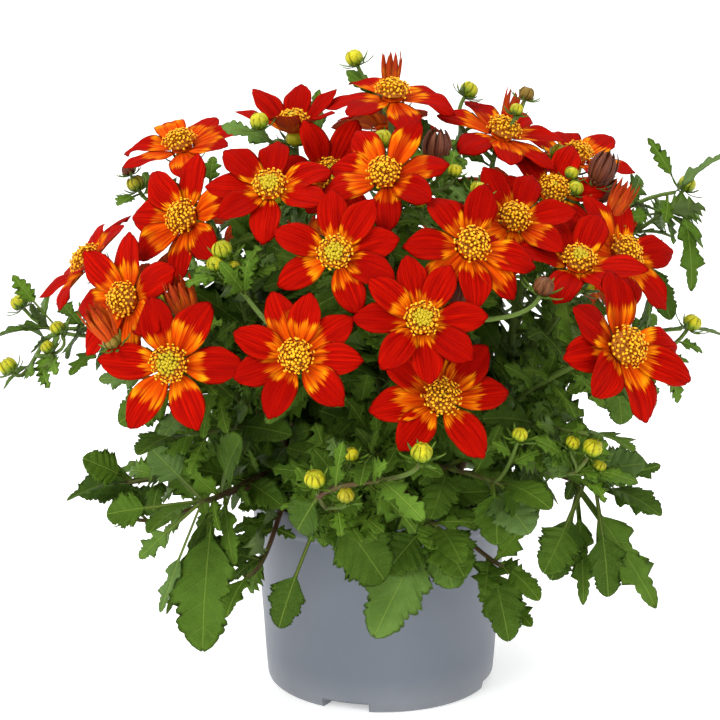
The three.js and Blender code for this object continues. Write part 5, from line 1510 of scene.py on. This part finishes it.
@functools.cache
def extra_leaves(tries):
    """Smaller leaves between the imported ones: one is tried at a drawn place on a drawn stem, out at a
    drawn angle round it, and kept where it is clear of the blooms, inside the box and outside the pot."""
    rng = np.random.default_rng(11)
    stems = [stem for stems in plant().stems for stem in stems]
    weight = np.array([np.linalg.norm(stem.points[3] - stem.points[0]) for stem in stems])
    weight = weight * np.array([2.2 if stem.root is None else 1.0 for stem in stems])
    leaves = []
    for _ in range(tries):
        stem = stems[rng.choice(len(stems), p=weight / weight.sum())]
        trunk = stem.root is None
        place = rng.uniform(0.42, 0.98) if trunk else rng.uniform(0.15, 0.9)
        at, heading = (each[0] for each in stem.along(place))
        side = unit(np.cross(heading, UP))
        around = turn_to(side, np.cross(side, heading), rng.uniform(0, 2 * math.pi))
        size = rng.uniform(26, 44) if trunk else rng.uniform(15, 32)
        if trunk and rng.uniform() < 0.4:
            around = unit(rng.normal(0, 14, 3) - at * (1, 1, 0))
            size = rng.uniform(38, 60)
        kind = KINDS[rng.choice(4, p=(0.4, 0.3, 0.1, 0.2) if trunk else (0.15, 0.3, 0.2, 0.35))]
        direction = unit(around + rng.uniform(0.2, 0.8) * heading + rng.uniform(-0.3, 0.2) * UP)
        blade = leaf_blade(at, direction, outwards(at, rng.uniform(0.3, 1.2)), size, kind)
        blade.bend = rng.uniform(12, 44)
        rim = blade_rim(blade)
        before_pot = np.any((rim[:, 2] < POT_HEIGHT - 4) & (rim[:, 1] < -30) & (np.abs(rim[:, 0]) < 50))
        if in_reach(rim) and not before_pot and clear_of_blooms(rim):
            leaves.append((stem, place, blade))
    return leaves


def stems_skin(sector, sizes):
    """A sector's trunk, stalks and shoots, with their leaves, calyxes and heads."""
    skin = Skin()
    thickness = sizes.leaf_thickness / MM
    for number, stem in enumerate(plant().stems[sector]):
        rings, t = stem_rings(stem, 28 if stem.root is None else 16, 10 if stem.root is None else 7)
        points, triangles, place = closed_tube(rings, t)
        brown = np.clip((190 - points[:, 2]) / 90, 0, 1) * np.clip(1.1 - 0.5 * place[:, 1], 0, 1)
        skin.add(points, triangles, place, finish=STEM, tint=chance(number), lean=brown)
        seed = sector * 101 + number * 13
        if isinstance(stem.carries, Bloom):
            add_calyx(skin, stem, stem.carries, seed)
        elif stem.carries:
            kind, number = stem.carries
            add_head(skin, stem, kind, DARK_HEADS.get(number, 0.15 * chance(number)), number)
    for number, (stem, _, blade) in enumerate(plant().leaves):
        if stem.sector == sector:
            cut = SHORTER.get(number, 1.0)
            tip = blade.foot + cut * (blade.tip - blade.foot)
            blade = Blade(blade.foot, tip, blade.face, cut * blade.width, blade.bend, blade.kind, blade.share)
            sheet = leaf_sheet(blade, TEETH[blade.kind], LEAF_COLUMNS, number, thickness)
            young = YOUNG[blade.kind]
            skin.add(*sheet, LEAF, chance(number * 5 + 1), young + 0.3 * chance(number * 7) ** 2)
    for number, (stem, _, blade) in enumerate(fill_leaves()):
        if stem.sector == sector and clear_of_petals(blade_rim(blade)):
            sheet = leaf_sheet(blade, TEETH[blade.kind], LEAF_COLUMNS, 300 + number, thickness)
            young = YOUNG[blade.kind]
            skin.add(*sheet, LEAF, chance(number * 5 + 2), young + 0.3 * chance(number * 7) ** 2)
    for number, (twig, kind, dark) in enumerate(sprigs()):
        if twig.sector == sector:
            rings, t = stem_rings(twig, 10, 6)
            skin.add(*closed_tube(rings, t), finish=STEM, tint=chance(number), lean=0.0)
            add_head(skin, twig, kind, dark, 40 + number, 0.62 + 0.25 * chance(number * 9))
            for place, turn in ((0.5, 1), (0.72, -1)):
                at, heading = (each[0] for each in twig.along(place))
                side = turn * unit(np.cross(heading, outwards(at, 0.5)))
                size = 13 + 7 * chance(number)
                blade = leaf_blade(at, side + 0.7 * heading, outwards(at, 0.9), size, "fern")
                if clear_of_petals(blade_rim(blade)):
                    seed = 700 + 2 * number + turn
                    sheet = leaf_sheet(blade, 4, COARSE_COLUMNS, seed, thickness, coarse=True)
                    skin.add(*sheet, LEAF, chance(number * 5), 0.5)
    for number, (stem, _, blade) in enumerate(extra_leaves(sizes.extra_leaves)):
        if stem.sector == sector:
            teeth = min(TEETH[blade.kind], COARSE_TEETH)
            sheet = leaf_sheet(blade, teeth, COARSE_COLUMNS, 500 + number, thickness, coarse=True)
            young = 0.7 * YOUNG[blade.kind]
            skin.add(*sheet, LEAF, 0.8 * chance(number * 3 + 2), young + 0.3 * chance(number * 11) ** 2)
    return skin


# Operators

class BidensPot(bpy.types.Operator):
    """Makes the pot, smooth and rounded, with its notched foot."""

    bl_idname = "bidens.pot"
    bl_label = "Pot"

    def execute(self, context):
        """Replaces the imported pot."""
        skin = Skin()
        skin.add(*pot_skin(context.scene.bidens_sizes))
        skin.make("nursery_pot", [pot_finish(context.scene.bidens_colours)], "pot", "pot")
        return {"FINISHED"}


class BidensSoil(bpy.types.Operator):
    """Makes the crumbly soil."""

    bl_idname = "bidens.soil"
    bl_label = "Soil"

    def execute(self, context):
        """Replaces the packed soil."""
        skin = soil_skin(context.scene.bidens_sizes)
        skin.make("potting_soil", [soil_finish(context.scene.bidens_colours)], "soil", "soil")
        return {"FINISHED"}


class BidensStems(bpy.types.Operator):
    """Makes the stems with their leaves, calyxes and heads, one piece a sector."""

    bl_idname = "bidens.stems"
    bl_label = "Leafy stems"

    def execute(self, context):
        """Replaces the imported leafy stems."""
        colours = context.scene.bidens_colours
        finishes = [leaf_finish(colours), stem_finish(colours), bud_finish(colours), petal_finish(colours)]
        for sector in range(SECTORS):
            skin = stems_skin(sector, context.scene.bidens_sizes)
            skin.make(f"stems_and_leaves_{sector + 1}", finishes, "leaf", f"leafy_stem_{sector + 1}")
        return {"FINISHED"}


class BidensPetals(bpy.types.Operator):
    """Makes the petals of every bloom."""

    bl_idname = "bidens.petals"
    bl_label = "Petals"

    def execute(self, context):
        """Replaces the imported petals."""
        blooms = plant().blooms
        for node in dict.fromkeys(bloom.node for bloom in blooms):
            skin = petals_skin([bloom for bloom in blooms if bloom.node == node], context.scene.bidens_sizes)
            skin.make(f"ray_{node}", [petal_finish(context.scene.bidens_colours)], "petal", node)
        return {"FINISHED"}


class BidensDiscs(bpy.types.Operator):
    """Makes the disc of florets of every bloom."""

    bl_idname = "bidens.discs"
    bl_label = "Discs"

    def execute(self, context):
        """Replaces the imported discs."""
        for bloom in plant().blooms:
            skin = disc_skin(bloom, context.scene.bidens_sizes)
            skin.make(f"florets_{bloom.name}", [disc_finish(context.scene.bidens_colours)], "disc",
                      f"disc_{bloom.name}")
        return {"FINISHED"}


class BidensStudio(bpy.types.Operator):
    """Makes the floor with its backdrop, the lights and the camera."""

    bl_idname = "bidens.studio"
    bl_label = "Studio"

    def execute(self, context):
        """Sets the stage round the plant."""
        scene = context.scene
        bend = np.linspace(0, math.pi / 2, 13)[::-1]
        reach = FLOOR_FLAT + FLOOR_BEND * np.sin(bend)
        radius = np.concatenate([[FLOOR_FLAT + FLOOR_BEND], reach, [0.9, 0.3]])
        height = np.concatenate([[WALL_TOP], FLOOR_BEND - FLOOR_BEND * np.cos(bend), [0, 0]])
        angle = 2 * math.pi * np.arange(FLOOR_SIDES) / FLOOR_SIDES
        rings = np.stack([radius[:, None] * np.cos(angle), radius[:, None] * np.sin(angle),
                          height[:, None] + 0 * angle], -1)
        mesh = bpy.data.meshes.new("floor")
        index = np.arange(rings.size // 3).reshape(len(radius), FLOOR_SIDES)
        middle = [(rings.size // 3, index[-1, k], index[-1, (k + 1) % FLOOR_SIDES])
                  for k in range(FLOOR_SIDES)]
        around = grid_triangles(np.concatenate([index, index[:, :1]], axis=1))
        points = np.concatenate([rings.reshape(-1, 3), [(0, 0, 0)]])
        mesh.from_pydata(points, [], [*map(tuple, around), *middle])
        mesh.polygons.foreach_set("use_smooth", np.ones(len(mesh.polygons), dtype=bool))
        material = bpy.data.materials.new("studio_white")
        material.use_nodes = True
        shader = material.node_tree.nodes["Principled BSDF"]
        shader.inputs["Base Color"].default_value = scene.bidens_colours.floor
        shader.inputs["Roughness"].default_value = 0.9
        shader.inputs["Emission Color"].default_value = (1.0, 1.0, 1.0, 1.0)
        shader.inputs["Emission Strength"].default_value = FLOOR_GLOW
        mesh.materials.append(material)
        floor = bpy.data.objects.new("floor", mesh)
        scene.collection.objects.link(floor)
        world = bpy.data.worlds.new("studio")
        world.use_nodes = True
        world.node_tree.nodes["Background"].inputs["Color"].default_value = (1.0, 1.0, 1.0, 1.0)
        world.node_tree.nodes["Background"].inputs["Strength"].default_value = WORLD_STRENGTH
        scene.world = world
        for name, at, size, power in LAMPS:
            lamp = bpy.data.lights.new(name, "AREA")
            lamp.size, lamp.energy = size, power
            light = bpy.data.objects.new(name, lamp)
            light.location = at
            light.rotation_euler = (Vector(LAMPS_FACE) - Vector(at)).to_track_quat("-Z", "Y").to_euler()
            scene.collection.objects.link(light)
        lens = bpy.data.cameras.new("camera")
        lens.lens, lens.sensor_width = LENS, SENSOR
        lens.clip_start, lens.clip_end = 0.01, 20.0
        camera = bpy.data.objects.new("camera", lens)
        camera.location = CAMERA
        camera.rotation_euler = (math.radians(90 - CAMERA_PITCH), 0.0, 0.0)
        scene.collection.objects.link(camera)
        scene.camera = camera
        scene.view_settings.view_transform = "Standard"
        return {"FINISHED"}


class BidensPanel(bpy.types.Panel):
    """Lists the pieces, the sizes and the colours."""

    bl_idname = "BIDENS_PT_pieces"
    bl_label = "Potted Bidens"
    bl_space_type = "VIEW_3D"
    bl_region_type = "UI"
    bl_category = "Bidens"

    def draw(self, context):
        """Draws a button for each piece, and the settings under them."""
        for operator in OPERATORS:
            self.layout.operator(operator.bl_idname)
        for settings in (context.scene.bidens_sizes, context.scene.bidens_colours):
            box = self.layout.box()
            for key in settings.__annotations__:
                box.prop(settings, key)


OPERATORS = (BidensPot, BidensSoil, BidensStems, BidensPetals, BidensDiscs, BidensStudio)
CLASSES = (BidensSizes, BidensColours, *OPERATORS, BidensPanel)


def register():
    """Registers the classes and hangs the settings on the scene."""
    for each in CLASSES:
        bpy.utils.register_class(each)
    bpy.types.Scene.bidens_sizes = PointerProperty(type=BidensSizes)
    bpy.types.Scene.bidens_colours = PointerProperty(type=BidensColours)


def unregister():
    """Takes the settings off the scene and unregisters the classes."""
    del bpy.types.Scene.bidens_colours
    del bpy.types.Scene.bidens_sizes
    for each in reversed(CLASSES):
        bpy.utils.unregister_class(each)


def main():
    """Makes every piece and the studio."""
    register()
    bpy.ops.bidens.pot()
    bpy.ops.bidens.soil()
    bpy.ops.bidens.stems()
    bpy.ops.bidens.petals()
    bpy.ops.bidens.discs()
    bpy.ops.bidens.studio()


if __name__ == "__main__":
    main()
